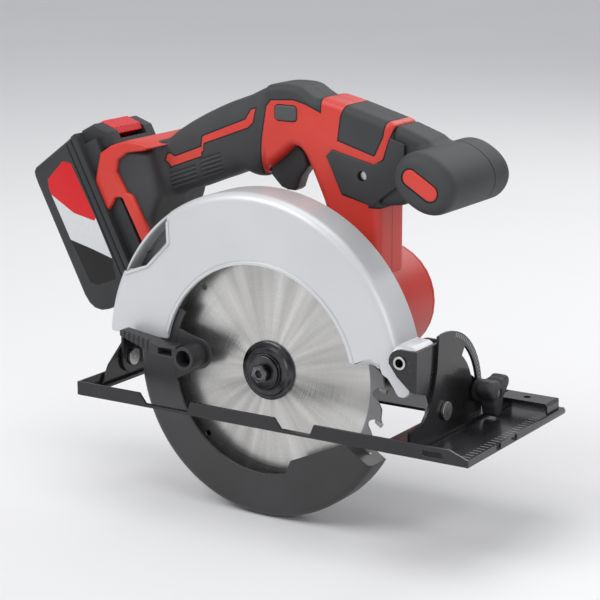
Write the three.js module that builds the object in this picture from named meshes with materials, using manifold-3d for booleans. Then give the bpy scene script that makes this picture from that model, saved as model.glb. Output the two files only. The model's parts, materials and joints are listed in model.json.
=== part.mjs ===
// Cordless circular saw, 185 mm blade, as an assembly of separate pieces.
// Millimetres. +X points the way the saw cuts, +Z is up, +Y points to the motor side.
// Pieces are drawn from the blade: Y = 0 is the middle of the blade, X = 0 is its arbor and
// Z = 0 is the underside of the base. The last lines move the origin onto the sole.

import * as THREE from 'three';
import { mergeVertices } from 'three/addons/utils/BufferGeometryUtils.js';
import Module from 'manifold-3d';

const wasm = await Module();
wasm.setup();

// ---------------------------------------------------------------- driving dimensions

const GAP = 0.3; // between pieces that touch
const RUN = 0.2; // radial clearance of turning fits

// Blade and arbor
const BLADE_RADIUS = 92.5;
const BLADE_THICKNESS = 1.6;
const BLADE_BORE = 10;
const TOOTH_COUNT = 24;
const GULLET_DEPTH = 11;
const ARBOR_HEIGHT = 28;
const FLANGE_RADIUS = 20.5;
const SPINDLE_RADIUS = 7.5;
const BOLT_RADIUS = 4;

// Base
const BASE_REAR = -134;
const BASE_FRONT = 174.4;
const BASE_NEAR = -42;
const BASE_FAR = 106;
const SHEET = 2; // thickness of the base plate
const RIM_HEIGHT = 9.6;
const SLOT_REAR = -126;
const SLOT_FRONT = 105;
const SLOT_NEAR = -38;
const SLOT_FAR = 52;
const SOLE_POINT_Y = 79; // the origin, on the solid web beside the slot

// Bevel hinge along X, and its quadrant
const BEVEL_Y = 14;
const BEVEL_Z = 16;
const QUADRANT_X = 125.5;
const QUADRANT_RADIUS = 52.5;
const BRACKET_SHEET = 2.3; // front bracket
const HINGE_SHEET = 2; // quadrant, rear ear and rear bracket
const BEVEL_SLOT_RADIUS = 43;
const STUD_ANGLE = 5;
const STUD_RADIUS = 3;
const BEVEL_RANGE = 45;
const KNOB_RADIUS = 16.5;

// Depth hinge along Y, and its guide
const PIVOT_X = 113;
const PIVOT_Z = 54;
const PIVOT_PIN_RADIUS = 3.4;
const DEPTH_RANGE = 30;
const GUIDE_RADIUS = 149;
const GUIDE_WIDTH = 14;
const LOCK_ANGLE = 180; // place of the lock bolt on the guide, seen from the hinge

// Upper guard
const GUARD_X = -8;
const GUARD_Z = 33;
const GUARD_RADIUS = 118.5;
const GUARD_NEAR = -16;
const GUARD_FAR = 14;
const GUARD_WALL = 2.4;
const GUARD_HEM = 42; // height of its rear lower edge
const GUARD_ROUND = 5;
const OPENING_RADIUS = 75.5;
const BOSS_RADIUS = 20.5;
const BEARING_RADIUS = 16;

// Lower guard
const LOWER_RADIUS = 100.7;
const LOWER_WALL = 1.8;
const LOWER_NEAR = -13;
const LOWER_FAR = 9;
const LOWER_INNER = 70;
const LOWER_FRONT_ANGLE = -30.5;
const LOWER_REAR_ANGLE = 150;
const LEVER_X = -51;
const LEVER_Z = 35;
const LEVER_NEAR = -30.4;

// Motor and gears
const MOTOR_X = 36;
const MOTOR_Z = 66;
const BARREL_RADIUS = 39.5;
const BARREL_WALL = 3;
const BARREL_FAR = 92;
const MOTOR_END = 98;
const CASE_FAR = 41;
const CASE_WALL = 2.5;
const STATOR_RADIUS = 28;
const ROTOR_RADIUS = 11.8;
const SHAFT_RADIUS = 3.5;
const INTERMEDIATE_DISTANCE = 28; // arbor to intermediate pin
const SPINDLE_TEETH = 25;
const CLUSTER_PINION_TEETH = 12;
const CLUSTER_WHEEL_TEETH = 23;
const MOTOR_PINION_TEETH = 10;

// Handle
const HANDLE_Y = 52; // plane that the two housing halves meet on
const HANDLE_HALF = 18;
const HANDLE_ROUND = 5;
const SHELL = 5; // housing wall, overmould included
const OVERMOULD = 2;
const GRIP_REAR = -102;
const GRIP_FRONT = -38;
const FOOT_HALF = 35;
const FRONT_BAR_X = 110;
const FRONT_BAR_Z = 164.5;
const FRONT_BAR_LENGTH = 90;
const FRONT_BAR_HALF_WIDTH = 23.5;
const FRONT_BAR_HALF_HEIGHT = 18.5;
const FRONT_BAR_TILT = -31;

// Battery, in its own directions: u along its length downwards, v forwards
const PACK_X = -218;
const PACK_Z = 143.9;
const PACK_TILT = 27.6;
const PACK_LENGTH = 117;
const PACK_HALF = 37.5;
const PACK_SEAM = 45;
const PACK_FACE = 62;
const CELL_RADIUS = 9.1;

// ---------------------------------------------------------------- finishes

const finish = (color, roughness, metalness) =>
  new THREE.MeshStandardMaterial({ color, roughness, metalness });

const redPlastic = finish(0xcf3b2c, 0.45, 0);
const blackRubber = finish(0x343436, 0.75, 0);
const darkPlastic = finish(0x2b2b2d, 0.55, 0);
const paintedSteel = finish(0x17181a, 0.35, 0.2);
const silverPaint = finish(0xc9cbcd, 0.4, 0.3);
const bladeSteel = finish(0xa9abad, 0.35, 0.9);
const darkChrome = finish(0x3a3b3e, 0.25, 0.9);
const brightSteel = finish(0xb8babd, 0.3, 0.9);
const castAluminium = finish(0x9da0a3, 0.5, 0.7);
const copperWinding = finish(0xb5652f, 0.4, 0.8);
const circuitGreen = finish(0x1f5b36, 0.5, 0);
const cellBlue = finish(0x2f5d86, 0.45, 0);

// ---------------------------------------------------------------- shape helpers

const radians = (degrees) => (degrees * Math.PI) / 180;

function polar(x, y, radius, angle) {
  return [x + radius * Math.cos(radians(angle)), y + radius * Math.sin(radians(angle))];
}

function arc(x, y, radius, from, to, steps) {
  const points = [];
  for (let i = 0; i <= steps; i += 1) {
    points.push(polar(x, y, radius, from + ((to - from) * i) / steps));
  }
  return points;
}

const circle = (x, y, radius, sides) => arc(x, y, radius, 0, 360 - 360 / sides, sides - 1);

// An outline moved outwards by a distance, or inwards by a negative one.
function offset(outline, distance) {
  const area = outline.reduce((sum, [x, y], i) => {
    const [nextX, nextY] = outline[(i + 1) % outline.length];
    return sum + x * nextY - nextX * y;
  }, 0);
  const side = Math.sign(area) * distance;
  const normal = ([ax, ay], [bx, by]) => {
    const length = Math.hypot(bx - ax, by - ay);
    return [(by - ay) / length, (ax - bx) / length];
  };
  return outline.map((corner, i) => {
    const before = normal(outline.at(i - 1), corner);
    const after = normal(corner, outline[(i + 1) % outline.length]);
    const spread = 1 + before[0] * after[0] + before[1] * after[1];
    return [
      corner[0] + (side * (before[0] + after[0])) / spread,
      corner[1] + (side * (before[1] + after[1])) / spread,
    ];
  });
}

// A closed geometry as a manifold solid, its faces turned to point out.
function solidOf(geometry) {
  geometry.deleteAttribute('normal');
  geometry.deleteAttribute('uv');
  const merged = mergeVertices(geometry, 1e-4);
  const position = merged.attributes.position;
  const corner = (i) => new THREE.Vector3().fromBufferAttribute(position, i);
  const faces = [];
  let volume = 0;
  for (let i = 0; i < merged.index.count; i += 3) {
    const [a, b, c] = [0, 1, 2].map((k) => merged.index.getX(i + k));
    if (a !== b && b !== c && c !== a) {
      faces.push([a, b, c]);
      volume += corner(a).dot(corner(b).cross(corner(c)));
    }
  }
  const outward = volume > 0 ? faces : faces.map(([a, b, c]) => [a, c, b]);
  return new wasm.Manifold(new wasm.Mesh({
    numProp: 3,
    vertProperties: new Float32Array(position.array),
    triVerts: new Uint32Array(outward.flat()),
  }));
}

const ALONG_X = new THREE.Matrix4().set(0, 0, 1, 0, 1, 0, 0, 0, 0, 1, 0, 0, 0, 0, 0, 1);
const ALONG_Y = new THREE.Matrix4().set(1, 0, 0, 0, 0, 0, -1, 0, 0, 1, 0, 0, 0, 0, 0, 1);

// An outline given thickness along one axis. Outlines are (x, z) along y, (y, z) along x
// and (x, y) along z. A bevel chamfers both of its edges inside the outline.
function prism(axis, outline, from, to, bevel = 0) {
  const shape = new THREE.Shape(outline.map(([x, y]) => new THREE.Vector2(x, y)));
  const geometry = new THREE.ExtrudeGeometry(shape, {
    depth: to - from - 2 * bevel,
    bevelEnabled: bevel > 0,
    bevelThickness: bevel,
    bevelSize: bevel,
    bevelOffset: -bevel,
    bevelSegments: 1,
  });
  geometry.translate(0, 0, bevel);
  if (axis === 'x') {
    geometry.applyMatrix4(ALONG_X);
    geometry.translate(from, 0, 0);
  } else if (axis === 'y') {
    geometry.applyMatrix4(ALONG_Y);
    geometry.translate(0, to, 0);
  } else {
    geometry.translate(0, 0, from);
  }
  return solidOf(geometry);
}

function box(x0, x1, y0, y1, z0, z1) {
  const geometry = new THREE.BoxGeometry(x1 - x0, y1 - y0, z1 - z0);
  geometry.translate((x0 + x1) / 2, (y0 + y1) / 2, (z0 + z1) / 2);
  return solidOf(geometry);
}

const rod = (axis, a, b, radius, from, to, sides = 16) =>
  prism(axis, circle(a, b, radius, sides), from, to);

const tube = (axis, a, b, inner, outer, from, to, sides = 16) =>
  rod(axis, a, b, outer, from, to, sides).subtract(rod(axis, a, b, inner, from - 1, to + 1, sides));

// A profile of [radius, y] points turned about an axis along Y at (x, z).
function turned(profile, x, z, sides) {
  const points = profile.map(([radius, y]) => new THREE.Vector2(radius, y));
  if (profile[0][0] > 0) points.push(points[0].clone());
  const geometry = new THREE.LatheGeometry(points, sides);
  geometry.translate(x, 0, z);
  return solidOf(geometry);
}

// The outline between two circles, bounded by their outer tangents.
function bridge(x1, y1, r1, x2, y2, r2) {
  const length = Math.hypot(x2 - x1, y2 - y1);
  const heading = (Math.atan2(y2 - y1, x2 - x1) * 180) / Math.PI;
  const lean = (Math.acos((r1 - r2) / length) * 180) / Math.PI;
  return [
    polar(x1, y1, r1, heading - lean),
    polar(x2, y2, r2, heading - lean),
    polar(x2, y2, r2, heading + lean),
    polar(x1, y1, r1, heading + lean),
  ];
}

const join = (...solids) => solids.reduce((whole, solid) => whole.add(solid));
const cut = (solid, ...tools) => tools.reduce((rest, tool) => rest.subtract(tool), solid);

const saw = new THREE.Group();

function piece(name, solid, material) {
  const { vertProperties, triVerts } = solid.getMesh();
  const geometry = new THREE.BufferGeometry();
  geometry.setAttribute('position', new THREE.Float32BufferAttribute(vertProperties, 3));
  geometry.setIndex(Array.from(triVerts));
  geometry.computeVertexNormals();
  const mesh = new THREE.Mesh(geometry, material);
  mesh.name = name;
  saw.add(mesh);
}

// A plain headed fastener along Y: head at the near end.
const screw = (x, z, near, far, head, shank) =>
  join(rod('y', x, z, head, near, near + 2.5, 8), rod('y', x, z, shank, near + 1, far, 8));

// ---------------------------------------------------------------- base

const NOTCHES = [[-79.9, -37], [30.5, 61]]; // in the near rim, clear of the guard lever and bolt
const NOTCH_SLOPE = 6;
const FRONT_STEP = 161;

function basePlate() {
  const sheet = prism('z', [
    [BASE_REAR, BASE_NEAR],
    [BASE_FRONT, BASE_NEAR],
    ...arc(BASE_FRONT - 8, BASE_FAR - 8, 8, 0, 90, 4),
    [BASE_REAR, BASE_FAR],
  ], 0, SHEET);
  const slot = prism('z', [
    [SLOT_REAR, SLOT_NEAR],
    [SLOT_FRONT - 6, SLOT_NEAR],
    [SLOT_FRONT, SLOT_NEAR + 8],
    [SLOT_FRONT, SLOT_FAR - 26],
    [SLOT_FRONT - 13, SLOT_FAR],
    [SLOT_REAR, SLOT_FAR],
  ], -1, SHEET + 1);
  const nearOutline = [[BASE_REAR, 0], [BASE_REAR, RIM_HEIGHT]];
  for (const [rear, front] of NOTCHES) {
    nearOutline.push([rear, RIM_HEIGHT], [rear + NOTCH_SLOPE, SHEET]);
    nearOutline.push([front - NOTCH_SLOPE / 2, SHEET], [front, RIM_HEIGHT]);
  }
  nearOutline.push([FRONT_STEP, RIM_HEIGHT], [FRONT_STEP + 4, 8], [BASE_FRONT, 4.6], [BASE_FRONT, 0]);
  const nearRim = prism('y', nearOutline, BASE_NEAR, BASE_NEAR + 1.8);
  const window = box(142, 158, BASE_NEAR - 1, BASE_NEAR + 3, 2.8, 6.4);
  const rearRim = box(BASE_REAR, BASE_REAR + 1.8, BASE_NEAR, BASE_FAR, 0, RIM_HEIGHT);
  const farRim = box(BASE_REAR, BASE_FRONT - 8, BASE_FAR - 1.8, BASE_FAR, 0, 8);
  const frontLip = box(BASE_FRONT - 1.8, BASE_FRONT, BASE_NEAR, BASE_FAR - 8, 0, 4.6);
  const sightNotch = box(BASE_FRONT - 3, BASE_FRONT + 1, -3, 3, SHEET / 2, 6);
  const guideNotch = box(BASE_FRONT - 3, BASE_FRONT + 1, 18, 26, SHEET / 2, 6);
  const plate = join(cut(sheet, slot), cut(nearRim, window), rearRim, farRim, frontLip);
  return cut(plate, sightNotch, guideNotch);
}

piece('base_plate', basePlate(), paintedSteel);

// The quadrant stands on the base in front of the blade. Its foot is folded forwards.
const FOOT_TOP = SHEET + GAP + 2;
const RIVET_RADIUS = 3.8;

function bevelQuadrant() {
  const outline = [
    [-32, SHEET + GAP],
    [66, SHEET + GAP],
    ...arc(BEVEL_Y, BEVEL_Z, QUADRANT_RADIUS, 3, 100, 14),
    [3, 46],
    [0, 35],
    [-6, 23],
    [-15, 14.5],
    [-32, 13],
  ];
  const plate = prism('x', outline, QUADRANT_X, QUADRANT_X + HINGE_SHEET);
  const foot = box(QUADRANT_X, QUADRANT_X + 8.5, -32, 66, SHEET + GAP, FOOT_TOP);
  const halfSlot = STUD_RADIUS + 0.6;
  const endRoom = (halfSlot / BEVEL_SLOT_RADIUS) * 180 / Math.PI;
  const firstAngle = STUD_ANGLE - endRoom;
  const lastAngle = STUD_ANGLE + BEVEL_RANGE + endRoom;
  const slot = [
    ...arc(BEVEL_Y, BEVEL_Z, BEVEL_SLOT_RADIUS + halfSlot, firstAngle, lastAngle, 9),
    ...arc(BEVEL_Y, BEVEL_Z, BEVEL_SLOT_RADIUS - halfSlot, lastAngle, firstAngle, 9),
  ];
  return cut(
    join(plate, foot),
    prism('x', slot, QUADRANT_X - 1, QUADRANT_X + 3),
    rod('x', BEVEL_Y, BEVEL_Z, RIVET_RADIUS + RUN, QUADRANT_X - 1, QUADRANT_X + 3, 16),
  );
}

piece('bevel_quadrant', bevelQuadrant(), paintedSteel);

// Rivets along X that the bevel carriage swings on, front and rear.
function pivotRivet(from, to, headRadius) {
  return join(
    rod('x', BEVEL_Y, BEVEL_Z, RIVET_RADIUS, from - 1, to + 1, 16),
    rod('x', BEVEL_Y, BEVEL_Z, headRadius, from - 1.8, from, 16),
    rod('x', BEVEL_Y, BEVEL_Z, headRadius, to, to + 2, 16),
  );
}

const WEB_X = QUADRANT_X - GAP - BRACKET_SHEET; // near face of the front bracket's web
piece('front_pivot_rivet', pivotRivet(WEB_X - GAP, QUADRANT_X + HINGE_SHEET + GAP, 6.3), brightSteel);

const EAR_X = BASE_REAR + 2.1; // the rear ear stands just inside the rear rim

function rearEar() {
  const outline = [[-18, SHEET + GAP], [34, SHEET + GAP], [34, 20], [29, 28], [7, 28], [-10, 14.7]];
  const plate = prism('x', outline, EAR_X, EAR_X + HINGE_SHEET);
  return cut(plate, rod('x', BEVEL_Y, BEVEL_Z, RIVET_RADIUS + RUN, EAR_X - 1, EAR_X + 3, 16));
}

piece('rear_bevel_ear', rearEar(), paintedSteel);

const REAR_BRACKET_X = EAR_X + HINGE_SHEET + GAP;
piece('rear_pivot_rivet', pivotRivet(EAR_X - GAP, REAR_BRACKET_X + HINGE_SHEET + GAP, 6), brightSteel);

// A strap over the front of the base that a parallel guide slides under.
function guideBracket() {
  const low = SHEET + GAP;
  const high = 12;
  const side = [
    [134, low], [137.5, low], [137.5, high - 2], [170, high - 2], [172.2, low],
    [172.4, low], [172.4, high - 2], [170.5, high], [135.5, high], [134, high - 1.5],
  ];
  const strap = prism('y', side, 75, 93);
  return cut(strap, rod('z', 153, 84, 2.6, 0, 20, 12));
}

piece('guide_bracket', guideBracket(), paintedSteel);

// ---------------------------------------------------------------- bevel carriage

const STUD = polar(BEVEL_Y, BEVEL_Z, BEVEL_SLOT_RADIUS, STUD_ANGLE);
const EAR_NEAR = -20.5;
const EAR_FAR = 17.4;

function frontBracket() {
  const web = prism('x', [
    [EAR_NEAR, 35],
    [-4, 30],
    [5, 11],
    [BEVEL_Y, 6.5],
    [STUD[0] + 3, STUD[1] - 8],
    [STUD[0] + 7.5, STUD[1]],
    [STUD[0] + 4, STUD[1] + 7],
    [30, 46],
    [EAR_FAR, 62.6],
    [EAR_NEAR, 62.6],
  ], WEB_X, WEB_X + BRACKET_SHEET);
  const side = [
    [WEB_X + BRACKET_SHEET, 35.5], [WEB_X + BRACKET_SHEET, 62.6], [115, 62.6],
    ...arc(PIVOT_X, PIVOT_Z, 8.6, 95, 190, 5),
    [110.6, 44.3], [121.4, 35],
  ];
  const ears = join(
    prism('y', side, EAR_NEAR, EAR_NEAR + BRACKET_SHEET),
    prism('y', side, EAR_FAR - BRACKET_SHEET, EAR_FAR),
  );
  return cut(
    join(web, ears),
    rod('y', PIVOT_X, PIVOT_Z, PIVOT_PIN_RADIUS + RUN, EAR_NEAR - 1, EAR_FAR + 1, 20),
    rod('x', BEVEL_Y, BEVEL_Z, RIVET_RADIUS + RUN, WEB_X - 1, WEB_X + 4, 16),
    rod('x', ...STUD, STUD_RADIUS + RUN, WEB_X - 1, WEB_X + 4, 12),
  );
}

piece('front_bracket', frontBracket(), paintedSteel);

function depthPivotPin() {
  const flange = PIVOT_PIN_RADIUS + 1.1;
  const pin = join(
    rod('y', PIVOT_X, PIVOT_Z, PIVOT_PIN_RADIUS, EAR_NEAR - 1, EAR_FAR + 1, 20),
    rod('y', PIVOT_X, PIVOT_Z, flange, EAR_NEAR - GAP - 1.2, EAR_NEAR - GAP, 20),
    rod('y', PIVOT_X, PIVOT_Z, flange, EAR_FAR + GAP, EAR_FAR + GAP + 1.2, 20),
  );
  return cut(pin, rod('y', PIVOT_X, PIVOT_Z, PIVOT_PIN_RADIUS - 1.2, EAR_NEAR - 3, EAR_FAR + 3, 12));
}

piece('depth_pivot_pin', depthPivotPin(), brightSteel);

const KNOB_X = QUADRANT_X + HINGE_SHEET + 2 * GAP;
const STUD_END = KNOB_X + 17;

piece('bevel_stud', join(
  rod('x', ...STUD, 6, WEB_X - GAP - 2, WEB_X - GAP, 6),
  rod('x', ...STUD, STUD_RADIUS, WEB_X - GAP - 1, STUD_END, 12),
), brightSteel);

// The rear bracket swings on the rear rivet and carries the depth guide on its side ear.
const SIDE_EAR_FAR = GUARD_FAR + GAP;
const SIDE_EAR_NEAR = SIDE_EAR_FAR - HINGE_SHEET;
const GUIDE_NEAR = SIDE_EAR_FAR + GAP;
const GUIDE_FAR = GUIDE_NEAR + 2.2;
const LINK_X = -117;
const LINK_Z = 31;

function rearBracket() {
  const plate = join(
    rod('x', BEVEL_Y, BEVEL_Z, 11.5, REAR_BRACKET_X, REAR_BRACKET_X + HINGE_SHEET, 20),
    prism('x', [[BEVEL_Y - 11, BEVEL_Z], [BEVEL_Y + 11, BEVEL_Z], [SIDE_EAR_FAR, 40], [4, 40]],
      REAR_BRACKET_X, REAR_BRACKET_X + HINGE_SHEET),
  );
  const side = [[REAR_BRACKET_X, 23], [-108, 23], [-104, 27], [-104, 36], [-108, 40], [REAR_BRACKET_X, 40]];
  return cut(
    join(plate, prism('y', side, SIDE_EAR_NEAR, SIDE_EAR_FAR)),
    rod('x', BEVEL_Y, BEVEL_Z, RIVET_RADIUS + RUN, REAR_BRACKET_X - 1, REAR_BRACKET_X + 3, 16),
    rod('y', LINK_X, LINK_Z, 3 + RUN, SIDE_EAR_NEAR - 1, SIDE_EAR_FAR + 1, 12),
  );
}

piece('rear_bracket', rearBracket(), paintedSteel);

// A curved strap, concentric with the depth hinge, that the lock bolt slides along.
function depthGuide() {
  const low = LOCK_ANGLE + 8;
  const high = LOCK_ANGLE - DEPTH_RANGE - 4.5;
  const slotLow = LOCK_ANGLE + 1.7;
  const slotHigh = LOCK_ANGLE - DEPTH_RANGE - 1.7;
  const strap = [
    ...arc(PIVOT_X, PIVOT_Z, GUIDE_RADIUS + GUIDE_WIDTH / 2, low, high, 12),
    ...arc(PIVOT_X, PIVOT_Z, GUIDE_RADIUS - GUIDE_WIDTH / 2, high, low, 12),
  ];
  const halfSlot = STUD_RADIUS + 0.6;
  const slot = [
    ...arc(PIVOT_X, PIVOT_Z, GUIDE_RADIUS + halfSlot, slotLow, slotHigh, 12),
    ...arc(PIVOT_X, PIVOT_Z, GUIDE_RADIUS - halfSlot, slotHigh, slotLow, 12),
  ];
  const tail = [[-126, 22], [-36, 22], [-30, 34], [-36, 44], [-52, 40], [-126, 40]];
  return cut(
    join(prism('y', strap, GUIDE_NEAR, GUIDE_FAR), prism('y', tail, GUIDE_NEAR, GUIDE_FAR)),
    prism('y', slot, GUIDE_NEAR - 1, GUIDE_FAR + 1),
    rod('y', LINK_X, LINK_Z, 3 + RUN, GUIDE_NEAR - 1, GUIDE_FAR + 1, 12),
  );
}

piece('depth_guide', depthGuide(), paintedSteel);

piece('guide_rivet', join(
  rod('y', LINK_X, LINK_Z, 3, SIDE_EAR_NEAR - 1, GUIDE_FAR + 1, 12),
  rod('y', LINK_X, LINK_Z, 4.8, SIDE_EAR_NEAR - GAP - 1.4, SIDE_EAR_NEAR - GAP, 16),
  rod('y', LINK_X, LINK_Z, 4.8, GUIDE_FAR + GAP, GUIDE_FAR + GAP + 1.4, 16),
), brightSteel);

// A three-lobed knob on the stud that clamps the bevel.
function bevelKnob() {
  const wing = KNOB_X + 9;
  const end = STUD_END + 4;
  const lobes = [30, 150, 270].map((angle) => {
    const tip = polar(...STUD, KNOB_RADIUS - 4.5, angle);
    return join(
      rod('x', ...tip, 4.5, wing, end, 12),
      prism('x', bridge(...STUD, 8, ...tip, 4.5), wing, end),
    );
  });
  const bore = rod('x', ...STUD, STUD_RADIUS + RUN, KNOB_X - 1, STUD_END + 1, 12);
  return cut(join(rod('x', ...STUD, 8, KNOB_X, end, 18), ...lobes), bore);
}

piece('bevel_knob', bevelKnob(), darkPlastic);

// ---------------------------------------------------------------- blade and arbor

const HALF_BLADE = BLADE_THICKNESS / 2;
const INNER_FLANGE_FAR = 5;

function blade() {
  const outline = [];
  const pitch = 360 / TOOTH_COUNT;
  const root = BLADE_RADIUS - GULLET_DEPTH;
  for (let i = 0; i < TOOTH_COUNT; i += 1) {
    const tip = -i * pitch;
    const at = (radius, share) => polar(0, ARBOR_HEIGHT, radius, tip - share * pitch);
    outline.push(at(BLADE_RADIUS, 0), at(BLADE_RADIUS - 5, -0.08), at(root + 2, -0.02));
    outline.push(at(root, 0.12), at(root + 1, 0.3), at(BLADE_RADIUS - 4, 0.5), at(BLADE_RADIUS - 2.5, 0.9));
  }
  const disc = prism('y', outline.reverse(), -HALF_BLADE, HALF_BLADE);
  return cut(disc, rod('y', 0, ARBOR_HEIGHT, BLADE_BORE, -3, 3, 24));
}

piece('blade', blade(), bladeSteel);

piece('inner_flange', turned([
  [SPINDLE_RADIUS + RUN, 0],
  [BLADE_BORE - RUN, 0],
  [BLADE_BORE - RUN, HALF_BLADE + GAP],
  [FLANGE_RADIUS, HALF_BLADE + GAP],
  [FLANGE_RADIUS, INNER_FLANGE_FAR - 1.5],
  [12, INNER_FLANGE_FAR],
  [SPINDLE_RADIUS + RUN, INNER_FLANGE_FAR],
], 0, ARBOR_HEIGHT, 24), darkChrome);

const OUTER_FLANGE_NEAR = -7.6;
const WASHER_NEAR = -9.2;
const BOLT_NEAR = -14;

piece('outer_flange', turned([
  [BOLT_RADIUS + RUN, -HALF_BLADE - 1.2],
  [13, -HALF_BLADE - 1.2],
  [13, -HALF_BLADE - GAP],
  [FLANGE_RADIUS, -HALF_BLADE - GAP],
  [FLANGE_RADIUS, -3],
  [12.6, -5.2],
  [12.6, OUTER_FLANGE_NEAR],
  [BOLT_RADIUS + RUN, OUTER_FLANGE_NEAR],
], 0, ARBOR_HEIGHT, 24), darkChrome);

piece('blade_washer', tube('y', 0, ARBOR_HEIGHT, BOLT_RADIUS + RUN, 11.7,
  WASHER_NEAR, OUTER_FLANGE_NEAR - GAP, 28), brightSteel);

piece('blade_bolt', cut(
  join(
    rod('y', 0, ARBOR_HEIGHT, 6.4, BOLT_NEAR, WASHER_NEAR - GAP, 6),
    rod('y', 0, ARBOR_HEIGHT, BOLT_RADIUS, BOLT_NEAR + 1, 16, 16),
  ),
  rod('y', 0, ARBOR_HEIGHT, 2.9, BOLT_NEAR - 1, BOLT_NEAR + 4, 6),
), darkChrome);

const REAR_SEAT_Y = 34.5; // the spindle's rear bearing

piece('spindle', cut(
  join(
    rod('y', 0, ARBOR_HEIGHT, SPINDLE_RADIUS, -0.4, 34, 24),
    rod('y', 0, ARBOR_HEIGHT, 5, 33, 38.2, 20),
  ),
  rod('y', 0, ARBOR_HEIGHT, BOLT_RADIUS + RUN, -2, 18, 16),
), brightSteel);

// ---------------------------------------------------------------- gears

// The intermediate pin stands on the line from the arbor to the motor shaft.
const CENTRE_DISTANCE = Math.hypot(MOTOR_X, MOTOR_Z - ARBOR_HEIGHT);
const CENTRE_ANGLE = (Math.atan2(MOTOR_Z - ARBOR_HEIGHT, MOTOR_X) * 180) / Math.PI;
const [PIN_X, PIN_Z] = polar(0, ARBOR_HEIGHT, INTERMEDIATE_DISTANCE, CENTRE_ANGLE);
const slowModule = (2 * INTERMEDIATE_DISTANCE) / (SPINDLE_TEETH + CLUSTER_PINION_TEETH);
const fastModule = (2 * (CENTRE_DISTANCE - INTERMEDIATE_DISTANCE))
  / (CLUSTER_WHEEL_TEETH + MOTOR_PINION_TEETH);

// A spur gear along Y with straight-sided teeth; one tooth centre points along firstTooth.
function gear(x, z, teeth, module, from, to, bore, firstTooth) {
  const pitchRadius = (teeth * module) / 2;
  const step = 360 / teeth;
  const outline = [];
  for (let i = 0; i < teeth; i += 1) {
    const middle = firstTooth + i * step;
    outline.push(polar(x, z, pitchRadius - 1.15 * module, middle - 0.3 * step));
    outline.push(polar(x, z, pitchRadius + 0.75 * module, middle - 0.1 * step));
    outline.push(polar(x, z, pitchRadius + 0.75 * module, middle + 0.1 * step));
    outline.push(polar(x, z, pitchRadius - 1.15 * module, middle + 0.3 * step));
  }
  return cut(prism('y', outline, from, to), rod('y', x, z, bore, from - 1, to + 1, 16));
}

const meshBehind = (teeth) => CENTRE_ANGLE + 180 + 180 / teeth; // a gap faces back to the arbor
const FAST_NEAR = 17.5;
const FAST_FAR = 23.5;
const SLOW_NEAR = 26;
const SLOW_FAR = 33;
const PIN_RADIUS = 3;

piece('spindle_gear', gear(0, ARBOR_HEIGHT, SPINDLE_TEETH, slowModule, SLOW_NEAR, SLOW_FAR,
  SPINDLE_RADIUS + RUN, CENTRE_ANGLE), brightSteel);

piece('intermediate_gear', join(
  gear(PIN_X, PIN_Z, CLUSTER_PINION_TEETH, slowModule, FAST_FAR - 0.5, SLOW_FAR,
    PIN_RADIUS + RUN, meshBehind(CLUSTER_PINION_TEETH)),
  gear(PIN_X, PIN_Z, CLUSTER_WHEEL_TEETH, fastModule, FAST_NEAR, FAST_FAR,
    PIN_RADIUS + RUN, CENTRE_ANGLE),
), brightSteel);

piece('motor_pinion', gear(MOTOR_X, MOTOR_Z, MOTOR_PINION_TEETH, fastModule, FAST_NEAR, FAST_FAR,
  SHAFT_RADIUS + RUN, meshBehind(MOTOR_PINION_TEETH)), brightSteel);

piece('intermediate_pin', rod('y', PIN_X, PIN_Z, PIN_RADIUS, GUARD_FAR + GAP, CASE_FAR - 1, 16), brightSteel);

// ---------------------------------------------------------------- gear case

const CASE_NEAR = GUARD_FAR + GAP;
const CASE_RADII = { arbor: 24.5, pin: 21.5, motor: 30 };

function caseBody(change, from, to) {
  const arbor = CASE_RADII.arbor + change;
  const pin = CASE_RADII.pin + change;
  const motor = CASE_RADII.motor + change;
  return join(
    rod('y', 0, ARBOR_HEIGHT, arbor, from, to, 24),
    rod('y', PIN_X, PIN_Z, pin, from, to, 24),
    rod('y', MOTOR_X, MOTOR_Z, motor, from, to, 24),
    prism('y', bridge(0, ARBOR_HEIGHT, arbor, MOTOR_X, MOTOR_Z, motor), from, to),
  );
}

function gearCase() {
  const cup = cut(
    caseBody(0, CASE_NEAR, CASE_FAR),
    caseBody(-CASE_WALL, CASE_NEAR - 1, CASE_FAR - CASE_WALL),
  );
  const bosses = join(
    rod('y', 0, ARBOR_HEIGHT, 12.5, REAR_SEAT_Y, CASE_FAR, 24),
    rod('y', PIN_X, PIN_Z, 6, REAR_SEAT_Y, CASE_FAR, 16),
    rod('y', MOTOR_X, MOTOR_Z, 12.5, REAR_SEAT_Y, CASE_FAR, 24),
  );
  return cut(
    join(cup, bosses),
    rod('y', 0, ARBOR_HEIGHT, 10, REAR_SEAT_Y - 1, CASE_FAR - 1.5, 24),
    rod('y', PIN_X, PIN_Z, PIN_RADIUS + RUN, REAR_SEAT_Y - 1, CASE_FAR + 1, 16),
    rod('y', MOTOR_X, MOTOR_Z, 10, REAR_SEAT_Y - 1, CASE_FAR + 1, 24),
  );
}

piece('gear_case', gearCase(), castAluminium);
piece('spindle_bearing_front', tube('y', 0, ARBOR_HEIGHT, SPINDLE_RADIUS + RUN, BEARING_RADIUS,
  GUARD_FAR - 8, GUARD_FAR, 24), brightSteel);
piece('spindle_bearing_rear', tube('y', 0, ARBOR_HEIGHT, 5 + RUN, 10 - RUN,
  REAR_SEAT_Y + GAP, 38.2, 20), brightSteel);
piece('rotor_bearing_front', tube('y', MOTOR_X, MOTOR_Z, SHAFT_RADIUS + RUN, 10 - RUN,
  REAR_SEAT_Y + GAP, CASE_FAR - 0.5, 20), brightSteel);

// ---------------------------------------------------------------- motor

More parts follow.
